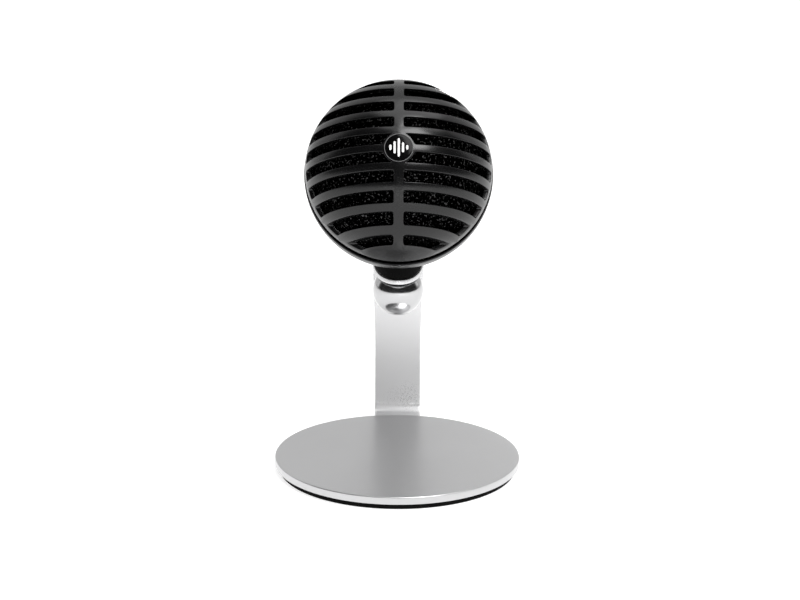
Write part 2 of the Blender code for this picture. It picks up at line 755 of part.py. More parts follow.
def main():
    mic_frame = frame_empty("mic_frame", BALL_CENTRE, 0.5 * math.pi - FACE_ELEVATION)
    stud_frame = frame_empty("stud_frame", BALL_CENTRE, math.pi + STUD_LEAN)
    stand_frame = frame_empty("stand_frame", (0.0, 0.0, 0.0), 0.0)
    make_rear_shell(mic_frame, stud_frame)
    make_trim_ring(mic_frame)
    make_grille(mic_frame)
    make_badge(mic_frame)
    make_foam(mic_frame)
    make_chassis(mic_frame)
    make_capsule(mic_frame)
    make_board(mic_frame)
    make_rear_panel(mic_frame)
    make_sockets(mic_frame)
    make_dial(mic_frame)
    make_buttons(mic_frame)
    make_base(stand_frame)
    make_arm(stand_frame)
    make_cradle_pad(stand_frame)
    make_thumbscrew(stud_frame)


main()
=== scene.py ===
"""Desktop microphone: the visible model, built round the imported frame.

Each sub-assembly is a class that holds its own sizes and builds its meshes in the
microphone's tilted frame, the stud's frame or the stand's frame. Finishes are frozen
dataclasses that write their own node trees.
"""

import json
import logging
import math
from dataclasses import dataclass, field
from enum import Enum
from typing import Any, Callable, Dict, List, Optional, Sequence, Tuple

import bmesh
import bpy
from mathutils import Matrix, Vector, noise


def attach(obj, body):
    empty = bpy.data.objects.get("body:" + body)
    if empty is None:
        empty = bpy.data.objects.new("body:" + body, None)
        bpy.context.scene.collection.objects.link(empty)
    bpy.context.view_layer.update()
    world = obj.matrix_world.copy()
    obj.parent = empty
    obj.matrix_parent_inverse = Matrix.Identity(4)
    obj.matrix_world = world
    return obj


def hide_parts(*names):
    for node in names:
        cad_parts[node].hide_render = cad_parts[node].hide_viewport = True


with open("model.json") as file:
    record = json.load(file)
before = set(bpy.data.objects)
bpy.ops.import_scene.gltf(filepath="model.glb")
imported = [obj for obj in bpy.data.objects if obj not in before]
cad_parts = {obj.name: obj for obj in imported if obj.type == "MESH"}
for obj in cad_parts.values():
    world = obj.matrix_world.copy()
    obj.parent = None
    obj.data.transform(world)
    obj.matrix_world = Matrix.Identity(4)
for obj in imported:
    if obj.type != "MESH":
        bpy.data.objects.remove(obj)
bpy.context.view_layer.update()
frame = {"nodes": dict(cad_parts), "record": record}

LOG = logging.getLogger("desktop_microphone")
MM = 0.001

Colour = Tuple[float, float, float]
Point2 = Tuple[float, float]
Point3 = Tuple[float, float, float]
Band = Tuple[float, float, float, float]


# ---------------------------------------------------------------------------- shader maths


class Field:
    """A shader socket that carries a number, with Python's arithmetic on it."""

    def __init__(self, graph: "Graph", socket: bpy.types.NodeSocket) -> None:
        """Wrap a socket.

        Args:
            graph: The node tree that the socket is in.
            socket: The output socket.
        """
        self.graph = graph
        self.socket = socket

    def _apply(self, operation: str, *values: Any) -> "Field":
        """Add one Math node over these values."""
        node = self.graph.node("ShaderNodeMath", {"operation": operation}, dict(enumerate(values)))
        return Field(self.graph, node.outputs[0])

    def __add__(self, other: Any) -> "Field":
        """Sum."""
        return self._apply("ADD", self, other)

    __radd__ = __add__

    def __sub__(self, other: Any) -> "Field":
        """Difference."""
        return self._apply("SUBTRACT", self, other)

    def __rsub__(self, other: Any) -> "Field":
        """Difference with the number first."""
        return self._apply("SUBTRACT", other, self)

    def __mul__(self, other: Any) -> "Field":
        """Product."""
        return self._apply("MULTIPLY", self, other)

    __rmul__ = __mul__

    def step(self, low: float, high: float) -> "Field":
        """Rise smoothly from 0 at low to 1 at high.

        Args:
            low: Value at which the result is 0.
            high: Value at which the result is 1.

        Returns:
            The smoothed and clamped field.
        """
        node = self.graph.node(
            "ShaderNodeMapRange", {"interpolation_type": "SMOOTHSTEP"},
            {"Value": self, "From Min": low, "From Max": high})
        return Field(self.graph, node.outputs[0])


class Graph:
    """A node tree that is written as expressions."""

    def __init__(self, tree: bpy.types.NodeTree) -> None:
        """Start from an empty tree.

        Args:
            tree: The material's or world's node tree.
        """
        self.tree = tree
        tree.nodes.clear()

    def node(self, kind: str, settings: Optional[Dict[str, Any]] = None,
             inputs: Optional[Dict[Any, Any]] = None) -> bpy.types.Node:
        """Add any node.

        Args:
            kind: The node's type.
            settings: Properties to set first.
            inputs: Socket names or places, with values, sockets or fields.

        Returns:
            The node.
        """
        made = self.tree.nodes.new(kind)
        for key, value in (settings or {}).items():
            setattr(made, key, value)
        for key, value in (inputs or {}).items():
            if isinstance(value, Field):
                value = value.socket
            if isinstance(value, bpy.types.NodeSocket):
                self.tree.links.new(value, made.inputs[key])
            else:
                made.inputs[key].default_value = value
        return made

    def here(self) -> bpy.types.NodeSocket:
        """The surface point, in the frame's metres."""
        return self.node("ShaderNodeTexCoord").outputs["Object"]

    def noise(self, size: float, detail: float = 3.0) -> Field:
        """Cloudy noise whose features are about size metres across."""
        node = self.node("ShaderNodeTexNoise", None,
                         {"Vector": self.here(), "Scale": 1.0 / size, "Detail": detail})
        return Field(self, node.outputs["Fac"])

    def cells(self, size: float, feature: str = "F1") -> Field:
        """Distance to the nearest cell centre, or to the cells' edges."""
        node = self.node("ShaderNodeTexVoronoi", {"feature": feature},
                         {"Vector": self.here(), "Scale": 1.0 / size})
        return Field(self, node.outputs["Distance"])

    def blend(self, factor: Any, first: Any, second: Any) -> bpy.types.NodeSocket:
        """Mix two colours."""
        node = self.node("ShaderNodeMix", {"data_type": "RGBA"},
                         {0: factor, 6: self._rgba(first), 7: self._rgba(second)})
        return node.outputs[2]

    @staticmethod
    def _rgba(value: Any) -> Any:
        """Give a plain colour its fourth number."""
        return (*value, 1.0) if isinstance(value, tuple) and len(value) == 3 else value

    def bump(self, height: Field, depth: float) -> bpy.types.NodeSocket:
        """Turn a height field into a normal, depth metres deep."""
        node = self.node("ShaderNodeBump", None,
                         {"Height": height, "Distance": depth, "Strength": 1.0})
        return node.outputs["Normal"]

    def surface(self, inputs: Dict[str, Any]) -> None:
        """Finish with a Principled shader.

        Args:
            inputs: The shader's sockets and their values.
        """
        ready = {key: self._rgba(value) if key.endswith("Color") else value
                 for key, value in inputs.items()}
        shader = self.node("ShaderNodeBsdfPrincipled", None, ready)
        self.node("ShaderNodeOutputMaterial", None, {"Surface": shader.outputs[0]})


# ---------------------------------------------------------------------------- finishes


@dataclass(frozen=True)
class Finish:
    """A named surface finish."""

    name: str

    def paint(self, graph: Graph) -> None:
        """Write the finish's nodes.

        Args:
            graph: The empty tree to write in.
        """
        raise NotImplementedError

    def material(self) -> bpy.types.Material:
        """The finish as a material, made once."""
        title = f"finish_{self.name}"
        known = bpy.data.materials.get(title)
        if known:
            return known
        made = bpy.data.materials.new(title)
        made.use_nodes = True
        self.paint(Graph(made.node_tree))
        return made


@dataclass(frozen=True)
class BlastedMetal(Finish):
    """Metal with a fine bead-blasted grain under clear anodising."""

    colour: Colour = (0.60, 0.60, 0.605)
    roughness: float = 0.27
    metallic: float = 0.55
    grain: float = 0.28 * MM
    grain_depth: float = 0.0015 * MM

    def paint(self, graph: Graph) -> None:
        """Grain in the normal, and a slow drift in tone and gloss.

        Args:
            graph: The empty tree to write in.
        """
        grain = graph.noise(self.grain, 2.0)
        drift = graph.noise(26 * MM, 2.0)
        tone = graph.blend(drift, self.colour, tuple(0.95 * part for part in self.colour))
        speck = graph.blend((grain - 0.35) * 0.15, tone, tuple(min(1.0, 1.2 * part) for part in self.colour))
        graph.surface({
            "Base Color": speck,
            "Metallic": self.metallic,
            "Roughness": self.roughness - 0.03 + 0.05 * drift + 0.04 * grain,
            "Normal": graph.bump(grain, self.grain_depth),
        })


@dataclass(frozen=True)
class TurnedMetal(Finish):
    """Metal polished or machined on a lathe, with faint marks and smears."""

    colour: Colour = (0.66, 0.66, 0.665)
    roughness: float = 0.12
    smear: float = 0.06

    def paint(self, graph: Graph) -> None:
        """Fine marks in the normal and smears in the gloss.

        Args:
            graph: The empty tree to write in.
        """
        smear = graph.noise(5 * MM, 5.0)
        marks = graph.noise(0.35 * MM, 2.0)
        graph.surface({
            "Base Color": graph.blend(smear, self.colour, tuple(0.95 * part for part in self.colour)),
            "Metallic": 1.0,
            "Roughness": self.roughness + self.smear * smear.step(0.35, 0.75),
            "Normal": graph.bump(marks, 0.0012 * MM),
        })


@dataclass(frozen=True)
class MouldedPlastic(Finish):
    """Moulded plastic with a fine spark texture and a slight sheen."""

    colour: Colour = (0.0012, 0.0012, 0.0013)
    roughness: float = 0.27
    texture: float = 0.22 * MM
    depth: float = 0.006 * MM
    specular: float = 0.5

    def paint(self, graph: Graph) -> None:
        """Spark texture in the normal, handling marks in the gloss.

        Args:
            graph: The empty tree to write in.
        """
        spark = graph.noise(self.texture, 2.0)
        handling = graph.noise(9 * MM, 5.0)
        light = tuple(part * 1.6 + 0.0004 for part in self.colour)
        graph.surface({
            "Base Color": graph.blend(handling * 0.6, self.colour, light),
            "Roughness": self.roughness + 0.08 * (handling - 0.5) + 0.04 * spark,
            "Specular IOR Level": self.specular,
            "Normal": graph.bump(spark, self.depth),
        })


@dataclass(frozen=True)
class SoftRubber(Finish):
    """Matt rubber with a dusty grain."""

    colour: Colour = (0.0025, 0.0025, 0.0025)
    roughness: float = 0.7

    def paint(self, graph: Graph) -> None:
        """Grain in the normal, and lighter dust in patches.

        Args:
            graph: The empty tree to write in.
        """
        grain = graph.noise(0.4 * MM, 4.0)
        dust = graph.noise(6 * MM, 6.0).step(0.52, 0.8)
        graph.surface({
            "Base Color": graph.blend(dust * 0.35, self.colour, (0.008, 0.008, 0.008)),
            "Roughness": self.roughness + 0.12 * grain,
            "Specular IOR Level": 0.05,
            "Normal": graph.bump(grain, 0.02 * MM),
        })


@dataclass(frozen=True)
class OpenFoam(Finish):
    """Black reticulated foam: dark pores with a few struts that catch the light."""

    strut: Colour = (0.045, 0.045, 0.045)
    pore: Colour = (0.0002, 0.0002, 0.0002)
    strut_size: float = 0.7 * MM

    def paint(self, graph: Graph) -> None:
        """Peaks of a fine noise are the struts that shine between the pores.

        Args:
            graph: The empty tree to write in.
        """
        strut = graph.noise(self.strut_size, 1.0).step(0.60, 0.70)
        graph.surface({
            "Base Color": graph.blend(strut, self.pore, self.strut),
            "Roughness": 0.95 - 0.45 * strut,
            "Specular IOR Level": 0.0,
            "Normal": graph.bump(strut, 0.10 * MM),
        })


@dataclass(frozen=True)
class PrintedInk(Finish):
    """Pad-printed ink, a little uneven."""

    colour: Colour = (0.50, 0.50, 0.495)
    roughness: float = 0.45

    def paint(self, graph: Graph) -> None:
        """Slight unevenness in colour and gloss.

        Args:
            graph: The empty tree to write in.
        """
        uneven = graph.noise(0.6 * MM, 3.0)
        graph.surface({
            "Base Color": graph.blend(uneven * 0.3, self.colour, tuple(0.8 * part for part in self.colour)),
            "Roughness": self.roughness + 0.1 * uneven,
            "Normal": graph.bump(uneven, 0.003 * MM),
        })


@dataclass(frozen=True)
class CircuitBoard(Finish):
    """Solder mask over copper tracks."""

    mask: Colour = (0.01, 0.08, 0.03)
    track: Colour = (0.02, 0.16, 0.05)

    def paint(self, graph: Graph) -> None:
        """Cell edges stand for the tracks.

        Args:
            graph: The empty tree to write in.
        """
        tracks = 1.0 - graph.cells(1.6 * MM, "DISTANCE_TO_EDGE").step(0.02, 0.06)
        graph.surface({
            "Base Color": graph.blend(tracks, self.mask, self.track),
            "Roughness": 0.35 + 0.1 * graph.noise(2 * MM),
            "Normal": graph.bump(tracks, 0.03 * MM),
        })


@dataclass(frozen=True)
class FrostedClear(Finish):
    """A frosted light pipe."""

    colour: Colour = (0.75, 0.77, 0.78)

    def paint(self, graph: Graph) -> None:
        """Frosting in the normal over a milky body.

        Args:
            graph: The empty tree to write in.
        """
        frost = graph.noise(0.15 * MM, 2.0)
        graph.surface({
            "Base Color": graph.blend(frost, self.colour, (0.9, 0.9, 0.9)),
            "Roughness": 0.25 + 0.15 * frost,
            "Normal": graph.bump(frost, 0.004 * MM),
            "Subsurface Weight": 0.4,
            "Subsurface Radius": (0.001, 0.001, 0.001),
            "Subsurface Scale": 0.5,
        })


@dataclass(frozen=True)
class PaperSweep(Finish):
    """The studio's pale sweep, lit partly from below."""

    colour: Colour = (0.55, 0.55, 0.55)
    glow: float = 0.72

    def paint(self, graph: Graph) -> None:
        """Almost even paper.

        Args:
            graph: The empty tree to write in.
        """
        fibre = graph.noise(3 * MM, 3.0)
        graph.surface({
            "Base Color": graph.blend(fibre, self.colour, tuple(0.985 * part for part in self.colour)),
            "Roughness": 0.9,
            "Specular IOR Level": 0.0,
            "Emission Color": (1.0, 1.0, 1.0),
            "Emission Strength": self.glow,
        })


class Palette(Enum):
    """The object's finishes."""

    ALUMINIUM = BlastedMetal("satin_aluminium")
    DISC = BlastedMetal("disc_aluminium", (0.54, 0.54, 0.545), 0.30, 1.0)
    KNOB = TurnedMetal("polished_knob", (0.50, 0.50, 0.505), 0.13)
    STEEL = TurnedMetal("machined_steel", (0.42, 0.42, 0.43), 0.3, 0.1)
    BRASS = TurnedMetal("machined_brass", (0.70, 0.52, 0.24), 0.28, 0.1)
    SATIN_BLACK = MouldedPlastic("satin_black", roughness=0.24, specular=0.40)
    SHELL_BLACK = MouldedPlastic("shell_black", roughness=0.26, depth=0.002 * MM, specular=0.14)
    GLOSS_BLACK = MouldedPlastic("gloss_black", (0.001, 0.001, 0.001), 0.12, 0.3 * MM, 0.0005 * MM, 0.08)
    # Pure black with no gloss at all: painted shade, used on the trim ring so it shows as the dark seam.
    SHADOW_BLACK = MouldedPlastic("shadow_black", (0.0, 0.0, 0.0), 0.6, specular=0.0)
    BUSH_BLACK = MouldedPlastic("bush_black", (0.002, 0.002, 0.002), 0.6, specular=0.1)
    GREY = MouldedPlastic("grey_plastic", (0.05, 0.05, 0.05), 0.5)
    RUBBER = SoftRubber("black_rubber")
    FOAM = OpenFoam("black_foam")
    INK = PrintedInk("white_ink")
    BOARD = CircuitBoard("green_board")
    LIGHT = FrostedClear("frosted_light_pipe")
    SWEEP = PaperSweep("paper_sweep")


# ---------------------------------------------------------------------------- places


def record_joint(name: str) -> Dict[str, Any]:
    """The record's own entry for a joint."""
    return next(e for e in frame["record"]["behaviour"]["joints"] if e["name"] == name)


BALL_CENTRE = Vector(record_joint("mic_tilt")["pos_m"])
FRONT = -Vector(record_joint("volume_dial_turn")["axis"]).normalized()
STUD_AXIS = Vector(record_joint("thumbscrew_turn")["axis"]).normalized()


def tilted_frame(out: Vector) -> Matrix:
    """A frame at the ball's centre whose z runs along out and whose x is the world's.

    Args:
        out: The direction of local z.

    Returns:
        The placing matrix.
    """
    side = Vector((1.0, 0.0, 0.0))
    up = out.cross(side)
    turn = Matrix((side, up, out)).transposed().to_4x4()
    return Matrix.Translation(BALL_CENTRE) @ turn


MIC = tilted_frame(FRONT)
STUD = tilted_frame(STUD_AXIS)
STAND = Matrix.Identity(4)


# ---------------------------------------------------------------------------- mesh helpers

SHARP_ANGLE = 34.0


def finish_mesh(name: str, shape: bmesh.types.BMesh, place: Matrix, look: Palette,
                body: str, slot: str, sharp: float = SHARP_ANGLE) -> bpy.types.Object:
    """Turn a bmesh into a piece that rides on a body.

    Args:
        name: The piece's name.
        shape: The mesh, which is freed.
        place: The frame that the mesh is laid out in.
        look: The finish.
        body: The CAD body it rides on.
        slot: The record's material slot; not used.
        sharp: Edges over this many degrees stay sharp.

    Returns:
        The piece.
    """
    bmesh.ops.remove_doubles(shape, verts=shape.verts, dist=1e-7)
    bmesh.ops.recalc_face_normals(shape, faces=shape.faces)
    mesh = bpy.data.meshes.new(name)
    shape.to_mesh(mesh)
    shape.free()
    mesh.transform(place)
    mesh.materials.append(look.value.material())
    mesh.shade_smooth()
    mesh.set_sharp_from_angle(angle=math.radians(sharp))
    piece = bpy.data.objects.new(name, mesh)
    bpy.context.scene.collection.objects.link(piece)
    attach(piece, body)
    return piece


def corner(before: Vector, at: Vector, after: Vector, radius: float, steps: int) -> List[Vector]:
    """Round one corner of an outline.

    Args:
        before: The point before the corner.
        at: The corner.
        after: The point after it.
        radius: The rounding's radius.
        steps: Segments in the rounding.

    Returns:
        The points that replace the corner.
    """
    back = (before - at).normalized()
    ahead = (after - at).normalized()
    half = 0.5 * back.angle(ahead)
    reach = radius / math.tan(half)
    start = at + back * reach
    end = at + ahead * reach
    middle = at + (back + ahead).normalized() * (radius / math.sin(half))
    points = []
    for i in range(steps + 1):
        t = i / steps
        arm = (start - middle).lerp(end - middle, t)
        points.append(middle + arm.normalized() * radius)
    return points


def rounded(outline: Sequence[Tuple[float, ...]], steps: int = 4) -> List[Point2]:
    """Round an outline's corners.

    Args:
        outline: Points (x, y) or (x, y, radius); the ends aren't rounded.
        steps: Segments in each rounding.

    Returns:
        The finer outline.
    """
    points = [Vector(p[:2]) for p in outline]
    result: List[Point2] = []
    for i, entry in enumerate(outline):
        if len(entry) == 3 and 0 < i < len(outline) - 1:
            made = corner(points[i - 1], points[i], points[i + 1], entry[2], steps)
            result.extend((p.x, p.y) for p in made)
        else:
            result.append((entry[0], entry[1]))
    return result


def ring_points(radius: float, count: int) -> List[Point2]:
    """Points round a circle."""
    return [(radius * math.cos(2.0 * math.pi * i / count), radius * math.sin(2.0 * math.pi * i / count))
            for i in range(count)]


def moved(outline: Sequence[Point2], x: float, y: float) -> List[Point2]:
    """An outline moved by x and y."""
    return [(a + x, b + y) for a, b in outline]


def round_loop(outline: Sequence[Tuple[float, float, float]], steps: int = 4) -> List[Point2]:
    """Round the corners of a closed outline.

    Args:
        outline: Points (x, y, radius); a radius of 0 keeps the corner.
        steps: Segments in each rounding.

    Returns:
        The finer outline.
    """
    points = [Vector(p[:2]) for p in outline]
    result: List[Point2] = []
    for i, (x, y, radius) in enumerate(outline):
        if radius > 0.0:
            made = corner(points[i - 1], points[i], points[(i + 1) % len(points)], radius, steps)
            result.extend((p.x, p.y) for p in made)
        else:
            result.append((x, y))
    return result


def bridge(shape: bmesh.types.BMesh, rings: Sequence[Sequence[bmesh.types.BMVert]],
           closed: bool = True) -> None:
    """Fill quads between neighbouring rings of vertices.

    Args:
        shape: The mesh.
        rings: Rings with the same number of vertices, or a single vertex for a pole.
        closed: Whether each ring joins its own start.
    """
    for upper, lower in zip(rings, rings[1:]):
        count = max(len(upper), len(lower))
        for j in range(count if closed else count - 1):
            k = (j + 1) % count
            if len(upper) == 1:
                corners = (upper[0], lower[j], lower[k])
            elif len(lower) == 1:
                corners = (upper[j], lower[0], upper[k])
            else:
                corners = (upper[j], lower[j], lower[k], upper[k])
            if len(set(corners)) == len(corners):
                shape.faces.new(corners)


def revolve(profile: Sequence[Point2], segments: int = 128, loop: bool = False,
            centre: Point2 = (0.0, 0.0), wave: Optional[Callable[[float, float, float], float]] = None
            ) -> bmesh.types.BMesh:
    """Turn a profile about local z.

    Args:
        profile: Points (radius, z).
        segments: Steps round the turn.
        loop: Whether the profile closes on itself.
        centre: Where the axis stands in x and y.
        wave: Gives a change in radius from (angle, radius, z), such as for grooves.

    Returns:
        The mesh.
    """
    shape = bmesh.new()
    rings = []
    for radius, z in profile:
        if radius < 1e-9:
            rings.append([shape.verts.new((centre[0], centre[1], z))])
            continue
        ring = []
        for j in range(segments):
            angle = 2.0 * math.pi * j / segments
            r = radius + (wave(angle, radius, z) if wave else 0.0)
            ring.append(shape.verts.new(
                (centre[0] + r * math.cos(angle), centre[1] + r * math.sin(angle), z)))
        rings.append(ring)
    if loop:
        rings.append(rings[0])
    bridge(shape, rings)
    return shape


def arc(radius: float, z_from: float, z_to: float, count: int, centre: float = 0.0) -> List[Point2]:
    """Points on a circle's outline centred on the axis.

    Args:
        radius: The circle's radius.
        z_from: Height of the first point.
        z_to: Height of the last point.
        count: Segments between them.
        centre: Height of the circle's centre.

    Returns:
        Points (radius, z).
    """
    start = math.asin(max(-1.0, min(1.0, (z_from - centre) / radius)))
    stop = math.asin(max(-1.0, min(1.0, (z_to - centre) / radius)))
    angles = [start + (stop - start) * i / count for i in range(count + 1)]
    return [(max(0.0, radius * math.cos(a)), centre + radius * math.sin(a)) for a in angles]


def subtract(piece: bpy.types.Object, tool: bmesh.types.BMesh, place: Matrix) -> None:
    """Cut a piece with a tool and apply the cut.

    Args:
        piece: The piece to cut.
        tool: The tool's mesh, which is freed.
        place: The tool's frame.
    """
    bmesh.ops.recalc_face_normals(tool, faces=tool.faces)
    mesh = bpy.data.meshes.new("tool")
    tool.to_mesh(mesh)
    tool.free()
    mesh.transform(place)
    cutter = bpy.data.objects.new("tool", mesh)
    bpy.context.scene.collection.objects.link(cutter)
    modifier = piece.modifiers.new("cut", "BOOLEAN")
    modifier.operation = "DIFFERENCE"
    modifier.solver = "EXACT"
    modifier.object = cutter
    graph = bpy.context.evaluated_depsgraph_get()
    result = bpy.data.meshes.new_from_object(piece.evaluated_get(graph), depsgraph=graph)
    piece.modifiers.clear()
    old = piece.data
    name = old.name
    piece.data = result
    bpy.data.meshes.remove(old)
    result.name = name
    result.set_sharp_from_angle(angle=math.radians(SHARP_ANGLE))
    bpy.data.objects.remove(cutter)
    bpy.data.meshes.remove(mesh)


def capsule_outline(half: float, radius: float, steps: int = 10, along: int = 1) -> List[Point2]:
    """A slot's outline, long in x.

    Args:
        half: Half the length over the ends.
        radius: The ends' radius.
        steps: Segments in each end.
        along: Segments in each straight side.

    Returns:
        The outline.
    """
    points = []
    straight = half - radius
    for end in (1, -1):
        for i in range(steps + 1):
            angle = math.pi * (i / steps - 0.5)
            points.append((end * (straight + radius * math.cos(angle)), end * radius * math.sin(angle)))
        for i in range(1, along):
            points.append((end * straight * (1.0 - 2.0 * i / along), end * radius))
    return points


def prism(outlines: Sequence[Tuple[Sequence[Point2], float]], caps: bool = True,
          loop: bool = False) -> bmesh.types.BMesh:
    """Stack outlines at heights.

    Args:
        outlines: Pairs of an outline and its z, with equal point counts.
        caps: Whether the first and last are filled.
        loop: Whether the last joins the first.

    Returns:
        The mesh.
    """
    shape = bmesh.new()
    rings = [[shape.verts.new((x, y, z)) for x, y in outline] for outline, z in outlines]
    if loop:
        rings.append(rings[0])
    bridge(shape, rings)
    if caps:
        shape.faces.new(rings[0])
        shape.faces.new(rings[-1])
    return shape


# ---------------------------------------------------------------------------- grille


@dataclass
class Grille:
    """The slatted front: a dome with ten slots each side of a centre rib."""

    radius: float = 33.6 * MM
    wall: float = 1.6 * MM
    edge: float = 4.6 * MM
    pitch: float = 6.5 * MM
    slat: float = 2.6 * MM
    rows: int = 4
    last_slot: float = 29.9 * MM
    slot_end: float = 7.6 * MM
    rib: float = 3.4 * MM
    boss: float = 5.55 * MM
    fillet: float = 0.22 * MM
    turn: float = 0.75 * MM
    along: int = 34
    ends: int = 5
    turns: int = 4
    first: float = 0.030
    last: float = 0.975
    end_run: float = 0.12
    rim_radius: float = 33.0 * MM
    cap_gap: float = 1.1 * MM
    cap_rows: int = 8
    lip_steps: int = 4
    back_steps: int = 3

    def bands(self) -> List[Band]:
        """Each row's tile and slot edges along y: (tile low, slot low, slot high, tile high)."""
        half = self.slat / 2
        result = []
        for k in range(-self.rows, self.rows):
            low, high = k * self.pitch, (k + 1) * self.pitch
            result.append((low, low + half, high - half, high))
        top = self.rows * self.pitch
        cap = self.last_slot + self.cap_gap
        result.append((top, top + half, self.last_slot, cap))
        result.append((-cap, -self.last_slot, -top - half, -top))
        return sorted(result)

    def spread(self, y: float, level: float, depth: float) -> float:
        """The angle round the y axis at which the dome reaches local z = level."""
        reach = math.sqrt(max(1e-12, (self.radius - depth) ** 2 - y * y))
        return math.acos(max(-1.0, min(1.0, level / reach)))

    def inner_edge(self, y: float) -> float:
        """The slot's inner end at a height: the rib's side, or the badge's round boss."""
        round_boss = math.sqrt(self.boss ** 2 - y * y) if abs(y) < self.boss else 0.0
        return max(self.rib / 2, round_boss)

    def point(self, angle: float, y: float, depth: float) -> Point3:
        """A point on the dome, depth under its outside."""
        reach = math.sqrt(max(0.0, (self.radius - depth) ** 2 - y * y))
        return (reach * math.sin(angle), y, reach * math.cos(angle))

    def marks(self) -> Tuple[List[float], List[float], List[float]]:
        """Fractions of the way round a tile's long side.

        Returns:
            The near corner's, the long side's and the far corner's fractions.
        """
        half = self.turns // 2
        near = [self.first * i / half for i in range(half)]
        middle = [self.first + (self.last - self.first) * i / self.along for i in range(self.along + 1)]
        far = [self.last + (1.0 - self.last) * i / half for i in range(1, half + 1)]
        return near, middle, far

    def slot_ring(self, band: Band, grow: float, depth: float) -> List[Point3]:
        """A slot's outline, in the order of its tile's.

        Args:
            band: The row's edges along y.
            grow: How far the outline is grown.
            depth: How far it lies under the dome's outside.

        Returns:
            The outline's points.
        """
        low, high = band[1] - grow, band[2] + grow
        radius = self.turn + grow
        ring: List[Point3] = []

        def near(inset: float, y: float) -> float:
            """The angle of the inner end, inset into the slot."""
            reach = math.sqrt((self.radius - depth) ** 2 - y * y)
            return math.asin(min(1.0, (self.inner_edge(y) - grow + inset) / reach))

        def far(inset: float, y: float) -> float:
            """The angle of the outer end, inset into the slot."""
            reach = math.sqrt((self.radius - depth) ** 2 - y * y)
            return self.spread(y, self.slot_end, depth) - (inset - grow) / reach

        def bend(end: Callable[[float, float], float], y: float, towards: float, rising: bool) -> None:
            """One rounded corner between an end and a long side.

            Args:
                end: Gives the end's angle from an inset and a height.
                y: The long side's height.
                towards: 1 where the slot lies above the side, -1 where it lies below.
                rising: Whether the turn runs from the end to the side.
            """
            for i in range(1, self.turns):
                t = 0.5 * math.pi * (i / self.turns if rising else 1.0 - i / self.turns)
                inset = radius * (1.0 - math.cos(t))
                height = y + towards * radius * (1.0 - math.sin(t))
                ring.append(self.point(end(inset, height), height, depth))

        def side(y: float, forward: bool) -> None:
            """One long side.

            Args:
                y: The side's height.
                forward: Whether it runs away from the rib.
            """
            a, b = near(radius, y), far(radius, y)
            for i in range(self.along + 1):
                t = i / self.along if forward else 1.0 - i / self.along
                ring.append(self.point(a + (b - a) * t, y, depth))

        def end_line(end: Callable[[float, float], float], up: bool) -> None:
            """One short end.

            Args:
                end: Gives the end's angle from an inset and a height.
                up: Whether it runs towards positive y.
            """
            a, b = low + radius, high - radius
            for i in range(self.ends + 1):
                t = i / self.ends if up else 1.0 - i / self.ends
                y = a + (b - a) * t
                ring.append(self.point(end(0.0, y), y, depth))

        side(low, True)
        bend(far, low, 1.0, False)
        end_line(far, True)
        bend(far, high, -1.0, True)
        side(high, False)
        bend(near, high, -1.0, False)
        end_line(near, False)
        bend(near, low, 1.0, True)
        return ring

    def tile_ring(self, band: Band, depth: float) -> List[Point3]:
        """A tile's outline, matched point for point to its slot's.

        Args:
            band: The row's edges along y.
            depth: How far the outline lies under the dome's outside.

        Returns:
            The outline's points.
        """
        low, high = band[0], band[3]
        level = self.edge + self.fillet
        half = self.turns // 2
        near, middle, far = self.marks()
        rise = [self.end_run * i / half for i in range(1, half)]
        ladder = [self.end_run + (1.0 - 2.0 * self.end_run) * i / self.ends for i in range(self.ends + 1)]
        ring: List[Point3] = []

        def across(t: float, y: float) -> None:
            """A point at a fraction of the way round at height y."""
            ring.append(self.point(self.spread(y, level, depth) * t, y, depth))

        def up(end: float, t: float) -> None:
            """A point at a fraction of the way up one end."""
            across(end, low + (high - low) * t)

        for t in middle + far:
            across(t, low)
        for t in rise + ladder:
            up(1.0, t)
        for t in reversed(rise):
            up(1.0, 1.0 - t)
        for t in reversed(near + middle + far):
            across(t, high)
        for t in rise:
            up(0.0, 1.0 - t)
        for t in reversed(rise + ladder):
            up(0.0, t)
        for t in near:
            across(t, low)
        return ring

    def layers(self) -> List[Tuple[Optional[float], float]]:
        """(grow, depth) from the dome's outside, round the lip and down the slot's wall."""
        f = self.fillet
        result: List[Tuple[Optional[float], float]] = [(None, 0.0)]
        for i in range(self.lip_steps + 1):
            t = 0.5 * math.pi * i / self.lip_steps
            result.append((f * (1.0 - math.sin(t)), f * (1.0 - math.cos(t))))
        inner = 0.5 * f
        for i in range(self.back_steps + 1):
            t = 0.5 * math.pi * i / self.back_steps
            result.append((inner * (1.0 - math.cos(t)), self.wall - inner * (1.0 - math.sin(t))))
        result.append((None, self.wall))
        return result

    def half_dome(self, shape: bmesh.types.BMesh) -> None:
        """The right half: a tile for each slot, and a cap at each end.

        Args:
            shape: The mesh that the half is added to.
        """
        for band in self.bands():
            rings = []
            for grow, depth in self.layers():
                tile = grow is None
                points = self.tile_ring(band, depth) if tile else self.slot_ring(band, grow, depth)
                rings.append([shape.verts.new(p) for p in points])
            bridge(shape, rings)
        for side in (1, -1):
            for depth in (0.0, self.wall):
                self.cap(shape, side, depth)

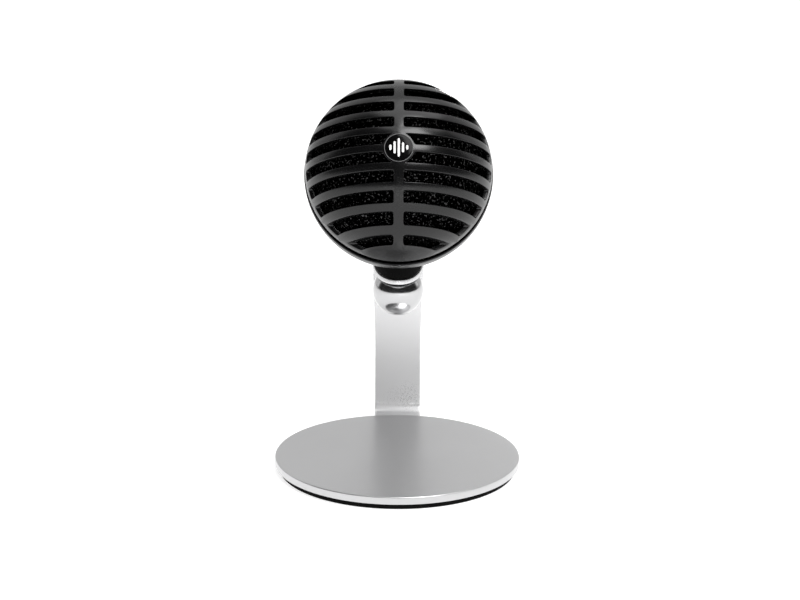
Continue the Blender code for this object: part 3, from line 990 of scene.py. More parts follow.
    def cap(self, shape: bmesh.types.BMesh, side: int, depth: float) -> None:
        """The solid end of the dome beyond the last slot.

        Args:
            shape: The mesh that the cap is added to.
            side: 1 for the end at positive y, -1 for the other.
            depth: How far it lies under the dome's outside.
        """
        level = self.edge + self.fillet
        near, middle, far = self.marks()
        marks = near + middle + far
        start = self.last_slot + self.cap_gap
        stop = math.sqrt((self.radius - depth) ** 2 - level ** 2)
        rings = []
        for i in range(self.cap_rows):
            y = start + (stop - start) * math.sin(0.5 * math.pi * i / self.cap_rows)
            turn = self.spread(y, level, depth)
            rings.append([shape.verts.new(self.point(turn * t, side * y, depth)) for t in marks])
        tip = shape.verts.new((0.0, side * stop, level))
        rings.append([tip] * len(marks))
        for upper, lower in zip(rings, rings[1:]):
            for j in range(len(marks) - 1):
                corners = (upper[j], lower[j], lower[j + 1], upper[j + 1])
                unique = list(dict.fromkeys(corners))
                if len(unique) > 2:
                    shape.faces.new(unique)

    def rim(self, shape: bmesh.types.BMesh) -> None:
        """Close the dome's edge with a small rounding.

        Args:
            shape: The mesh of both halves.
        """
        bmesh.ops.remove_doubles(shape, verts=shape.verts, dist=1e-6)
        level = self.edge + self.fillet
        border = [v for v in shape.verts if v.is_boundary and abs(v.co.z - level) < 2e-6]
        middle = self.radius - self.wall / 2
        border.sort(key=lambda v: math.atan2(v.co.y, v.co.x))
        outer = [v for v in border if v.co.length > middle]
        inner = [v for v in border if v.co.length <= middle]
        rings = [outer]
        for i in range(1, self.back_steps + 1):
            t = 0.5 * math.pi * i / self.back_steps
            keep = 1.0 - self.fillet * (1.0 - math.cos(t)) / self.rim_radius
            z = level - self.fillet * math.sin(t)
            rings.append([shape.verts.new((v.co.x * keep, v.co.y * keep, z)) for v in outer])
        rings.append([shape.verts.new((v.co.x, v.co.y, self.edge)) for v in inner])
        rings.append(inner)
        bridge(shape, rings)

    def build(self) -> bpy.types.Object:
        """Build the grille and put it in place of its CAD solid."""
        shape = bmesh.new()
        self.half_dome(shape)
        mirror = bmesh.ops.duplicate(shape, geom=shape.verts[:] + shape.edges[:] + shape.faces[:])
        copies = [part for part in mirror["geom"] if isinstance(part, bmesh.types.BMVert)]
        bmesh.ops.scale(shape, verts=copies, vec=(-1.0, 1.0, 1.0))
        flipped = [part for part in mirror["geom"] if isinstance(part, bmesh.types.BMFace)]
        bmesh.ops.reverse_faces(shape, faces=flipped)
        self.rim(shape)
        piece = finish_mesh("grille", shape, MIC, Palette.SATIN_BLACK, "microphone", "satin_black_plastic")
        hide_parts("front_grille")
        return piece


# ---------------------------------------------------------------------------- front of the ball


@dataclass
class Badge:
    """The round badge: a thin lip, a gloss disc that follows the dome, and a level-bar mark.

    Each entry of bar_layers is a share of the bar's outline and its height over the disc.
    """

    dome: float = 33.6 * MM
    lip_outer: float = 5.05 * MM
    lip_inner: float = 4.80 * MM
    proud: float = 0.06 * MM
    bar_heights: Tuple[float, ...] = (2.0 * MM, 4.4 * MM, 6.6 * MM, 3.6 * MM, 1.6 * MM)
    bar_pitch: float = 1.45 * MM
    bar_width: float = 0.8 * MM
    back: float = 32.8 * MM
    bar_layers: Tuple[Point2, ...] = (
        (1.0, -0.16 * MM), (1.0, 0.015 * MM), (0.93, 0.03 * MM), (0.6, 0.03 * MM), (0.25, 0.03 * MM))

    def height(self, x: float, y: float, lift: float) -> float:
        """Local z of a dome lifted by lift over the point x, y."""
        return math.sqrt((self.dome + lift) ** 2 - x * x - y * y)

    def lip(self) -> bpy.types.Object:
        """The grey lip round the disc."""
        base = self.height(self.lip_outer, 0.0, -0.5 * MM)
        top = self.height(self.lip_outer, 0.0, 0.10 * MM)
        profile = round_loop([
            (self.lip_outer, base, 0.0), (self.lip_outer, top, 0.07 * MM),
            (self.lip_inner, top + 0.03 * MM, 0.07 * MM), (self.lip_inner, base, 0.0)])
        piece = finish_mesh("badge_lip", revolve(profile, 96, loop=True), MIC, Palette.GREY,
                            "microphone", "screw_steel")
        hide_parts("badge_ring")
        return piece

    def disc(self) -> bpy.types.Object:
        """The gloss disc."""
        edge = self.lip_inner - 0.05 * MM
        rows = 10
        profile = [(edge * i / rows, self.height(edge * i / rows, 0.0, self.proud)) for i in range(rows)]
        profile += [(edge, self.height(edge, 0.0, self.proud - 0.05 * MM)), (edge, self.back),
                    (0.0, self.back)]
        piece = finish_mesh("badge_face", revolve(profile, 96), MIC, Palette.GLOSS_BLACK,
                            "microphone", "gloss_black_plastic", sharp=60.0)
        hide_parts("badge_disc")
        return piece

    def mark(self) -> bpy.types.Object:
        """Five upright bars, like a level meter."""
        shape = bmesh.new()
        first = -0.5 * self.bar_pitch * (len(self.bar_heights) - 1)
        for i, height in enumerate(self.bar_heights):
            x = first + i * self.bar_pitch
            outline = [(b, a) for a, b in capsule_outline(height / 2, self.bar_width / 2, 8, 10)]
            rings = []
            for share, over in self.bar_layers:
                ring = [(x + px * share, py * share) for px, py in outline]
                rings.append([shape.verts.new((px, py, self.height(px, py, self.proud + over)))
                              for px, py in ring])
            bridge(shape, rings)
            shape.faces.new(rings[0])
            shape.faces.new(rings[-1])
        return finish_mesh("badge_mark", shape, MIC, Palette.INK, "microphone", "light_pipe_plastic")

    def build(self) -> List[bpy.types.Object]:
        """Build the lip, the disc and the mark."""
        return [self.lip(), self.disc(), self.mark()]


@dataclass
class FoamDome:
    """The foam windscreen under the grille."""

    outer: float = 30.6 * MM
    inner: float = 27.6 * MM
    base: float = -1.2 * MM
    rough: float = 0.16 * MM
    pore: float = 1.1 * MM

    def build(self) -> bpy.types.Object:
        """A thick dome whose outside is finely uneven."""
        outside = arc(self.outer - self.rough, self.outer - self.rough, self.base, 90)
        outside[0] = (0.0, self.outer - self.rough)
        inside = arc(self.inner, self.base, self.inner, 20)
        inside[-1] = (0.0, self.inner)
        shape = revolve(outside + inside, 200)
        for vertex in shape.verts:
            if vertex.co.length > self.outer - 2.0 * self.rough and vertex.co.z > self.base + 1.0e-4:
                push = self.rough * noise.noise(vertex.co / self.pore)
                vertex.co += vertex.co.normalized() * push
        piece = finish_mesh("foam_dome", shape, MIC, Palette.FOAM, "microphone", "black_foam", sharp=80.0)
        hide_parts("foam_windscreen")
        return piece


# ---------------------------------------------------------------------------- rear of the ball


@dataclass
class RearShell:
    """The rear shell, with the ledge that holds the panel and the boss for the insert."""

    outer: float = 33.6 * MM
    inner: float = 31.6 * MM
    front: float = 1.0 * MM
    rear: float = -28.6 * MM
    opening: float = 15.8 * MM
    ledge: float = 14.5 * MM
    bore: float = 5.3 * MM
    ring_outer: float = 33.2 * MM
    ring_inner: float = 31.0 * MM
    ring_front: float = 4.3 * MM
    gap: float = 0.3 * MM
    ledge_rear: float = -26.3 * MM
    ledge_front: float = -24.8 * MM
    bore_span: Point2 = (20.0 * MM, 36.0 * MM)
    boss_radius: float = 7.5 * MM
    boss_span: Point2 = (24.2 * MM, 31.9 * MM)

    def shell(self) -> bpy.types.Object:
        """The shell, with the ledge for the panel and the bore for the insert cut through it."""
        outside = arc(self.outer, self.front - 0.4 * MM, self.rear + 0.25 * MM, 60)
        edge = self.outer - 0.25 * MM
        lip = [(edge, self.front)]
        mouth = rounded([
            outside[-1], (self.opening + 1.0 * MM, self.rear, 0.3 * MM),
            (self.opening, self.rear, 0.25 * MM), (self.opening, self.ledge_rear),
            (self.ledge, self.ledge_rear), (self.ledge, self.ledge_front)])[1:]
        inside = arc(self.inner, self.ledge_front, self.front - 0.05 * MM, 40)
        shape = revolve(lip + outside + mouth + inside + [(self.inner, self.front)], 160, loop=True)
        piece = finish_mesh("rear_shell_body", shape, MIC, Palette.SHELL_BLACK, "microphone",
                            "satin_black_plastic")
        hole = ring_points(self.bore, 48)
        subtract(piece, prism([(hole, z) for z in self.bore_span]), STUD)
        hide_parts("rear_shell")
        return piece

    def boss(self) -> bpy.types.Object:
        """The boss inside the shell round the threaded insert."""
        low, high = self.boss_span
        profile = round_loop([(self.boss_radius, low, 0.4 * MM), (self.boss_radius, high, 0.0),
                              (self.bore, high, 0.0), (self.bore, low, 0.3 * MM)])
        return finish_mesh("insert_boss", revolve(profile, 64, loop=True), STUD, Palette.BUSH_BLACK,
                           "microphone", "satin_black_plastic")

    def ring(self) -> bpy.types.Object:
        """The black ring between the shell and the grille, drawn pure black with no gloss: painted shade of the
        seam.
        """
        low = self.front + self.gap
        profile = round_loop([
            (self.ring_outer, low, 0.25 * MM), (self.ring_outer, self.ring_front, 0.35 * MM),
            (self.ring_inner, self.ring_front, 0.2 * MM), (self.ring_inner, low, 0.2 * MM)])
        # Painted shade: the ring gets the pure black finish with no gloss.
        piece = finish_mesh("trim_band", revolve(profile, 200, loop=True), MIC, Palette.SHADOW_BLACK,
                            "microphone", "gloss_black_plastic")
        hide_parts("trim_ring")
        return piece

    def build(self) -> List[bpy.types.Object]:
        """Build the shell, the boss and the trim ring."""
        return [self.shell(), self.boss(), self.ring()]


@dataclass
class RearControls:
    """The rear panel and what is on it: two sockets, a volume dial, two buttons and three lights."""

    radius: float = 15.5 * MM
    front: float = -26.6 * MM
    rear: float = -28.2 * MM
    board: float = -19.5 * MM
    socket_x: float = 8.4 * MM
    socket_y: float = 5.0 * MM
    dial_y: float = 10.3 * MM
    dial_radius: float = 4.0 * MM
    dial_top: float = -30.4 * MM
    button_x: float = 5.5 * MM
    button_y: float = -5.5 * MM
    lights: Tuple[float, ...] = (-3.6 * MM, 0.0, 3.6 * MM)
    light_y: float = -10.3 * MM
    chamfer: float = 0.22 * MM
    groove: Tuple[float, float, float] = (12.4 * MM, 12.1 * MM, 11.8 * MM)
    jack_hole: float = 3.6 * MM
    shaft_hole: float = 1.7 * MM
    key_hole: float = 2.9 * MM
    light_hole: float = 1.1 * MM
    dots: int = 7
    dot_ring: float = 5.3 * MM
    dot_limit: float = 14.6 * MM
    ridges: int = 36
    knurl_end: float = -28.65 * MM
    dial_low: float = -28.5 * MM
    dial_bore: float = 1.6 * MM
    dial_bore_end: float = -29.7 * MM
    key_radius: float = 2.6 * MM
    key_flange: float = 3.4 * MM
    key_stem: float = 1.5 * MM

    def hole(self, panel: bpy.types.Object, outline: Callable[[float], List[Point2]]) -> None:
        """Cut a hole whose mouth is chamfered.

        Args:
            panel: The panel.
            outline: Gives the hole's outline grown by a distance.
        """
        tool = prism([
            (outline(0.0), self.front + 1.0 * MM), (outline(0.0), self.rear + self.chamfer),
            (outline(self.chamfer), self.rear), (outline(self.chamfer), self.rear - 1.0 * MM)])
        subtract(panel, tool, MIC)

    def panel(self) -> bpy.types.Object:
        """The round panel with its holes."""
        outer, middle, inner = self.groove
        profile = rounded([
            (0.0, self.front), (self.radius, self.front, 0.15 * MM), (self.radius, self.rear, 0.35 * MM),
            (outer, self.rear), (middle, self.rear + 0.18 * MM), (inner, self.rear), (0.0, self.rear)])
        piece = finish_mesh("control_panel", revolve(profile, 128), MIC, Palette.SATIN_BLACK,
                            "microphone", "satin_black_plastic")
        self.hole(piece, lambda grow: moved(capsule_outline(4.9 * MM + grow, 2.0 * MM + grow, 12),
                                            -self.socket_x, self.socket_y))
        rounds = [(self.socket_x, self.socket_y, self.jack_hole), (0.0, self.dial_y, self.shaft_hole)]
        rounds += [(side * self.button_x, self.button_y, self.key_hole) for side in (-1, 1)]
        rounds += [(x, self.light_y, self.light_hole) for x in self.lights]
        for x, y, radius in rounds:
            self.hole(piece, lambda grow, x=x, y=y, r=radius: moved(ring_points(r + grow, 40), x, y))
        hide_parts("rear_panel")
        return piece

    def scale(self) -> bpy.types.Object:
        """Printed dots round the dial that grow towards loud."""
        shape = bmesh.new()
        for i in range(1, self.dots + 1):
            angle = math.radians(230.0 - 35.0 * i)
            x, y = self.dot_ring * math.cos(angle), self.dot_ring * math.sin(angle)
            radius = (0.16 + 0.035 * i) * MM
            if math.hypot(x, y + self.dial_y) + radius < self.dot_limit:
                dot = moved(ring_points(radius, 16), x, self.dial_y + y)
                low = [shape.verts.new((*p, self.rear + 0.05 * MM)) for p in dot]
                high = [shape.verts.new((*p, self.rear - 0.02 * MM)) for p in dot]
                bridge(shape, [low, high])
                shape.faces.new(low)
                shape.faces.new(high)
        return finish_mesh("volume_dots", shape, MIC, Palette.INK, "microphone", "light_pipe_plastic")

    def dial(self) -> List[bpy.types.Object]:
        """The knurled dial and its pointer line."""
        side = self.dial_radius - 0.05 * MM

        def knurl(angle: float, radius: float, z: float) -> float:
            """Grooves on the side only."""
            on_side = radius > side - 0.12 * MM and self.dial_top + 0.3 * MM < z < self.knurl_end
            return -0.14 * MM * (0.5 + 0.5 * math.cos(self.ridges * angle)) ** 2 if on_side else 0.0

        profile = rounded([
            (0.0, self.dial_top + 0.12 * MM), (2.9 * MM, self.dial_top + 0.12 * MM, 0.3 * MM),
            (3.1 * MM, self.dial_top, 0.1 * MM), (side, self.dial_top, 0.3 * MM)])
        profile += [(side, self.dial_top + 0.34 * MM), (side, self.knurl_end - 0.07 * MM)]
        profile += rounded([
            (side, self.knurl_end + 0.05 * MM), (side, self.dial_low, 0.06 * MM),
            (self.dial_bore, self.dial_low), (self.dial_bore, self.dial_bore_end),
            (0.0, self.dial_bore_end)])
        shape = revolve(profile, 288, centre=(0.0, self.dial_y), wave=knurl)
        cap = finish_mesh("dial_cap", shape, MIC, Palette.SATIN_BLACK, "dial", "satin_black_plastic",
                          sharp=40.0)
        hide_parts("volume_dial")
        line = [(b, a + 1.7 * MM) for a, b in capsule_outline(1.0 * MM, 0.22 * MM, 6)]
        line = moved(line, 0.0, self.dial_y)
        pointer = prism([(line, self.dial_top + 0.15 * MM), (line, self.dial_top + 0.09 * MM)])
        mark = finish_mesh("dial_pointer", pointer, MIC, Palette.INK, "dial", "light_pipe_plastic")
        return [cap, mark]

    def button(self, name: str, side: int) -> List[bpy.types.Object]:
        """One key: a dished cap with a printed sign.

        Args:
            name: The key's name, mode or mute.
            side: -1 for the left in the panel's frame, 1 for the right.

        Returns:
            The cap and the sign.
        """
        x = side * self.button_x
        profile = rounded([
            (0.0, -28.68 * MM), (1.6 * MM, -28.72 * MM),
            (self.key_radius, -28.8 * MM, 0.28 * MM), (self.key_radius, -26.3 * MM),
            (self.key_flange, -26.3 * MM, 0.1 * MM), (self.key_flange, -25.5 * MM, 0.1 * MM),
            (self.key_stem, -25.5 * MM), (self.key_stem, -23.3 * MM), (0.0, -23.3 * MM)])
        shape = revolve(profile, 64, centre=(x, self.button_y))
        cap = finish_mesh(f"{name}_cap", shape, MIC, Palette.GLOSS_BLACK, f"{name}_key",
                          "gloss_black_plastic")
        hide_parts(f"{name}_button")
        outline = ring_points(0.55 * MM, 24) if side < 0 else capsule_outline(1.1 * MM, 0.22 * MM, 8)
        outline = moved(outline, x, self.button_y)
        sign = prism([(outline, -28.6 * MM), (outline, -28.735 * MM)])
        mark = finish_mesh(f"{name}_sign", sign, MIC, Palette.INK, f"{name}_key", "light_pipe_plastic")
        return [cap, mark]

    def usb(self) -> List[bpy.types.Object]:
        """The rounded metal socket with its tongue and contacts."""
        def outline(grow: float) -> List[Point2]:
            """The shell's outline grown from the mouth's."""
            return moved(capsule_outline(4.2 * MM + grow, 1.3 * MM + grow, 12),
                         -self.socket_x, self.socket_y)

        wall = 0.4 * MM
        shell = prism([
            (outline(wall), self.board), (outline(wall), self.rear + 0.1 * MM),
            (outline(wall - 0.1 * MM), self.rear), (outline(0.1 * MM), self.rear),
            (outline(0.0), self.rear + 0.1 * MM), (outline(0.0), -21.0 * MM)])
        case = finish_mesh("usb_case", shell, MIC, Palette.STEEL, "microphone", "screw_steel")
        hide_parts("usb_socket")
        tongue_line = moved(capsule_outline(3.2 * MM, 0.35 * MM, 6), -self.socket_x, self.socket_y)
        tongue = finish_mesh("usb_tongue", prism([(tongue_line, -21.1 * MM), (tongue_line, -27.2 * MM)]),
                             MIC, Palette.SATIN_BLACK, "microphone", "satin_black_plastic")
        pads = bmesh.new()
        for i in range(6):
            for face in (-1, 1):
                place = Matrix.Translation((-self.socket_x + (i - 2.5) * 0.9 * MM,
                                            self.socket_y + face * 0.36 * MM, -25.0 * MM))
                bmesh.ops.create_cube(pads, size=1.0, matrix=place @ Matrix.Diagonal(
                    (0.45 * MM, 0.08 * MM, 3.6 * MM, 1.0)))
        contacts = finish_mesh("usb_contacts", pads, MIC, Palette.BRASS, "microphone", "capsule_brass")
        return [case, tongue, contacts]

    def jack(self) -> bpy.types.Object:
        """The headphone socket's collar."""
        profile = rounded([
            (0.0, self.board), (3.3 * MM, self.board, 0.1 * MM), (3.3 * MM, self.rear, 0.2 * MM),
            (2.3 * MM, self.rear, 0.1 * MM), (2.1 * MM, self.rear + 0.25 * MM, 0.1 * MM),
            (1.8 * MM, self.rear + 0.25 * MM, 0.1 * MM), (1.8 * MM, -20.2 * MM), (0.0, -20.2 * MM)])
        shape = revolve(profile, 72, centre=(self.socket_x, self.socket_y))
        piece = finish_mesh("jack_collar", shape, MIC, Palette.GLOSS_BLACK, "microphone",
                            "gloss_black_plastic")
        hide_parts("headphone_socket")
        return piece

    def light(self, index: int) -> bpy.types.Object:
        """One light pipe with a rounded end.

        Args:
            index: Its place in the row, from 0.

        Returns:
            The piece.
        """
        x = self.lights[index]
        profile = rounded([(0.0, self.board), (0.8 * MM, self.board, 0.1 * MM), (0.8 * MM, self.rear, 0.3 * MM),
                           (0.0, self.rear)])
        shape = revolve(profile, 40, centre=(x, self.light_y))
        piece = finish_mesh(f"light_end_{index + 1}", shape, MIC, Palette.LIGHT, "microphone",
                            "light_pipe_plastic")
        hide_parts(f"light_pipe_{index + 1}")
        return piece

    def build(self) -> List[bpy.types.Object]:
        """Build the panel and everything on it."""
        made = [self.panel(), self.scale(), *self.dial(), *self.usb(), self.jack()]
        made += self.button("mode", -1) + self.button("mute", 1)
        return made + [self.light(i) for i in range(len(self.lights))]


# ---------------------------------------------------------------------------- stand


@dataclass
class Base:
    """The metal disc and the rubber foot under it."""

    radius: float = 44.5 * MM
    top: float = 5.0 * MM
    bottom: float = 2.2 * MM
    foot_radius: float = 43.0 * MM
    foot_top: float = 1.9 * MM
    pocket_half: float = 8.9 * MM
    pocket_front: float = 19.7 * MM
    pocket_top: float = 4.05 * MM
    pocket_back: float = 50.0 * MM
    top_rings: Point2 = (20.0 * MM, 43.0 * MM)
    foot_grooves: Point2 = (40.0 * MM, 37.5 * MM)

    def disc(self) -> bpy.types.Object:
        """The disc, with the pocket that the arm's foot lies in."""
        profile = rounded([(0.0, self.top), *((radius, self.top) for radius in self.top_rings),
                           (self.radius, self.top, 0.32 * MM), (self.radius, self.bottom, 0.25 * MM),
                           (0.0, self.bottom)], 5)
        piece = finish_mesh("disc", revolve(profile, 240), STAND, Palette.DISC, "stand", "satin_aluminium")
        half, front, back = self.pocket_half, self.pocket_front, self.pocket_back
        outline = [(-half, front), (half, front), (half, back), (-half, back)]
        subtract(piece, prism([(outline, 1.0 * MM), (outline, self.pocket_top)]), STAND)
        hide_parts("base_disc")
        return piece

    def foot(self) -> bpy.types.Object:
        """The rubber foot, with two rings of grooves underneath."""
        outline = [(0.0, self.foot_top), (self.foot_radius, self.foot_top, 0.15 * MM),
                   (self.foot_radius, 0.0, 0.35 * MM)]
        for radius in self.foot_grooves:
            outline += [(radius, 0.0, 0.1 * MM), (radius - 0.2 * MM, 0.4 * MM, 0.1 * MM),
                        (radius - 1.0 * MM, 0.4 * MM, 0.1 * MM), (radius - 1.2 * MM, 0.0, 0.1 * MM)]
        outline.append((0.0, 0.0))
        piece = finish_mesh("rubber_foot", revolve(rounded(outline, 3), 200), STAND, Palette.RUBBER,
                            "stand", "black_rubber")
        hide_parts("base_foot")
        return piece

    def build(self) -> List[bpy.types.Object]:
        """Build the disc and the foot."""
        return [self.disc(), self.foot()]


ARM_RADIUS = 39.15 * MM
PAD_RADIUS = 36.0 * MM
PAD_SHARE = PAD_RADIUS / ARM_RADIUS
NOSE = 19.0 * MM
TONGUE_HALF = 9.5 * MM


@dataclass
class Strip:
    """A strip laid along the arm's line, from the tongue's nose under the ball down to the foot.

    The steps are the rows in each stretch: the dish, the bend, the upright, the foot's bend and the foot.
    """

    radius: float = ARM_RADIUS
    tip: float = math.radians(-6.5)
    nose: float = NOSE
    half: float = TONGUE_HALF
    upright_half: float = 8.6 * MM
    thick: float = 1.5 * MM
    fillet: float = 0.14 * MM
    upright_y: float = 53.6 * MM
    bend: float = 15.0 * MM
    foot_bend: float = 4.55 * MM
    foot_z: float = 3.05 * MM
    foot_end: float = 20.0 * MM
    flare: Tuple[float, float] = (30.0 * MM, 62.0 * MM)
    last_angle: Optional[float] = None
    columns: int = 24
    slot_half: float = 4.3 * MM
    slot_sweep: float = math.radians(10.0) * ARM_RADIUS
    slot_play: float = 0.8 * MM
    slot_lean: float = math.radians(2.0)
    slot_span: Point2 = (30.0 * MM, 44.0 * MM)
    steps: Tuple[int, ...] = (14, 30, 26, 14, 6)
    nose_rows: int = 26
    edge_steps: int = 4
    flatten: float = 0.7
    marks: List[float] = field(default_factory=list)

    def __post_init__(self) -> None:
        """Work out where the bends stand and how long each stretch is."""
        self.bend_y = self.upright_y - self.bend
        across = self.bend_y - BALL_CENTRE.y
        drop = math.sqrt((self.radius + self.bend) ** 2 - across ** 2)
        self.bend_z = BALL_CENTRE.z - drop
        self.meet = math.atan2(across, drop)
        self.low_z = self.foot_z + self.foot_bend
        last = self.last_angle if self.last_angle is not None else self.meet
        lengths = [self.radius * (last - self.tip)]
        if self.last_angle is None:
            lengths += [self.bend * (0.5 * math.pi + self.meet), self.bend_z - self.low_z,
                        self.foot_bend * 0.5 * math.pi, self.upright_y - self.foot_bend - self.foot_end]
        self.lengths = lengths
        self.length = sum(lengths)
        walk = 0.0
        self.marks = []
        for i, (length, count) in enumerate(zip(lengths, self.steps)):
            start = self.nose if i == 0 else 0.0
            for k in range(1, count + 1):
                self.marks.append(walk + start + (length - start) * k / count)
            walk += length

    def ease(self, value: float, low: float, high: float) -> float:
        """A smooth step from 0 at low to 1 at high."""
        t = max(0.0, min(1.0, (value - low) / (high - low)))
        return t * t * (3.0 - 2.0 * t)

    def station(self, s: float) -> Tuple[Vector, Vector, float, float]:
        """Where the strip is after a length s.

        Args:
            s: Length along the strip from the nose's tip.

        Returns:
            The centre point, the direction out of the ball, the cross curvature and the half width.
        """
        walk = s
        if walk <= self.lengths[0] or len(self.lengths) == 1:
            angle = self.tip + walk / self.radius
            out = Vector((0.0, math.sin(angle), -math.cos(angle)))
            return BALL_CENTRE + self.radius * out, out, 1.0 / self.radius, self.half
        walk -= self.lengths[0]
        if walk <= self.lengths[1]:
            t = walk / self.lengths[1]
            angle = (0.5 * math.pi + self.meet) * (1.0 - t)
            away = Vector((0.0, math.cos(angle), math.sin(angle)))
            curve = (1.0 - self.ease(t, 0.0, self.flatten)) / self.radius
            return Vector((0.0, self.bend_y, self.bend_z)) + self.bend * away, -away, curve, self.half
        walk -= self.lengths[1]
        if walk <= self.lengths[2]:
            z = self.bend_z - walk
            half = self.upright_half + (self.half - self.upright_half) * self.ease(z, *self.flare)
            return Vector((0.0, self.upright_y, z)), Vector((0.0, -1.0, 0.0)), 0.0, half
        walk -= self.lengths[2]
        if walk <= self.lengths[3]:
            angle = -walk / self.foot_bend
            away = Vector((0.0, math.cos(angle), math.sin(angle)))
            centre = Vector((0.0, self.upright_y - self.foot_bend, self.low_z))
            return centre + self.foot_bend * away, -away, 0.0, self.upright_half
        walk -= self.lengths[3]
        place = Vector((0.0, self.upright_y - self.foot_bend - walk, self.foot_z))
        return place, Vector((0.0, 0.0, 1.0)), 0.0, self.upright_half

    def point(self, s: float, across: float, lift: float) -> Vector:
        """A point on the strip.

        Args:
            s: Length along the strip.
            across: Distance to the side of its middle line.
            lift: Distance from its middle surface.

        Returns:
            The point.
        """
        centre, out, curve, _ = self.station(s)
        side = Vector((1.0, 0.0, 0.0))
        if curve > 1e-3:
            turn = across * curve
            normal = out * math.cos(turn) + side * math.sin(turn)
            place = centre + side * (math.sin(turn) / curve) - out * ((1.0 - math.cos(turn)) / curve)
        else:
            normal = out
            place = centre + side * across
        return place + normal * lift

    def rows(self, inset: float) -> List[Tuple[float, float]]:
        """The rows from the nose to the far end.

        Args:
            inset: How far the rows stand in from the outline.

        Returns:
            Each row's length along the strip and half width.
        """
        result = []
        for i in range(self.nose_rows + 1):
            turn = 0.5 * math.pi * i / self.nose_rows
            s = inset + (self.nose - inset) * (1.0 - math.cos(turn))
            result.append((s, (self.half - inset) * math.sin(turn)))
        for mark in self.marks:
            s = min(mark, self.length - inset)
            result.append((s, self.station(s)[3] - inset))
        return result

    def grid(self, shape: bmesh.types.BMesh, inset: float, lift: float) -> List[bmesh.types.BMVert]:
        """Add one broad face.

        Args:
            shape: The mesh.
            inset: How far the face stands in from the outline.
            lift: Its distance from the middle surface.

        Returns:
            The loop of vertices round it.
        """
        lines = []
        for s, half in self.rows(inset):
            line = [shape.verts.new(self.point(s, half * (2.0 * j / self.columns - 1.0), lift))
                    for j in range(self.columns + 1)]
            lines.append(line)
        for upper, lower in zip(lines, lines[1:]):
            for j in range(self.columns):
                shape.faces.new((upper[j], upper[j + 1], lower[j + 1], lower[j]))
        return [line[0] for line in lines] + lines[-1][1:-1] + [line[-1] for line in reversed(lines)]

    def loop(self, shape: bmesh.types.BMesh, inset: float, lift: float) -> List[bmesh.types.BMVert]:
        """Add the loop round the strip at one layer of its edge.

        Args:
            shape: The mesh.
            inset: How far the loop stands in from the outline.
            lift: Its distance from the middle surface.

        Returns:
            The loop's vertices.
        """
        rows = self.rows(inset)
        points = [self.point(s, -half, lift) for s, half in rows]
        s, half = rows[-1]
        points += [self.point(s, half * (2.0 * j / self.columns - 1.0), lift)
                   for j in range(1, self.columns)]
        points += [self.point(s, half, lift) for s, half in reversed(rows)]
        return [shape.verts.new(p) for p in points]

    def build(self, name: str, look: Palette, slot: str, node: str) -> bpy.types.Object:
        """Build the strip, round its edges and cut the slot.

        Args:
            name: The piece's name.
            look: The finish.
            slot: The record's material slot.
            node: The CAD node it stands for.

        Returns:
            The piece.
        """
        shape = bmesh.new()
        f, half = self.fillet, self.thick / 2
        loops = [self.grid(shape, f, half)]
        for i in range(1, self.edge_steps + 1):
            turn = 0.5 * math.pi * i / self.edge_steps
            loops.append(self.loop(shape, f * (1.0 - math.sin(turn)), half - f * (1.0 - math.cos(turn))))
        for i in range(self.edge_steps):
            turn = 0.5 * math.pi * i / self.edge_steps
            loops.append(self.loop(shape, f * (1.0 - math.cos(turn)), f * (1.0 - math.sin(turn)) - half))
        loops.append(self.grid(shape, f, -half))
        bridge(shape, loops)
        bmesh.ops.remove_doubles(shape, verts=shape.verts, dist=2e-6)
        piece = finish_mesh(name, shape, STAND, look, "stand", slot)
        reach = self.slot_sweep + self.slot_half + self.slot_play
        outline = [(b, a) for a, b in capsule_outline(reach, self.slot_half, 14)]
        place = STUD @ Matrix.Rotation(self.slot_lean, 4, "X")
        subtract(piece, prism([(outline, z) for z in self.slot_span]), place)
        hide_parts(node)
        return piece


@dataclass
class Stand:
    """The base, the arm and the cradle pad."""

    base: Base = field(default_factory=Base)
    arm: Strip = field(default_factory=Strip)
    pad: Strip = field(default_factory=lambda: Strip(
        radius=PAD_RADIUS, tip=math.radians(-5.9), nose=NOSE * PAD_SHARE, half=TONGUE_HALF * PAD_SHARE,
        thick=4.2 * MM, fillet=0.55 * MM, last_angle=math.radians(39.0)))

    def build(self) -> List[bpy.types.Object]:
        """Build the stand's pieces."""
        arm = self.arm.build("arm_strip", Palette.ALUMINIUM, "satin_aluminium", "arm")
        pad = self.pad.build("cradle_rubber", Palette.RUBBER, "black_rubber", "cradle_pad")
        return self.base.build() + [arm, pad]


# ---------------------------------------------------------------------------- thumbscrew


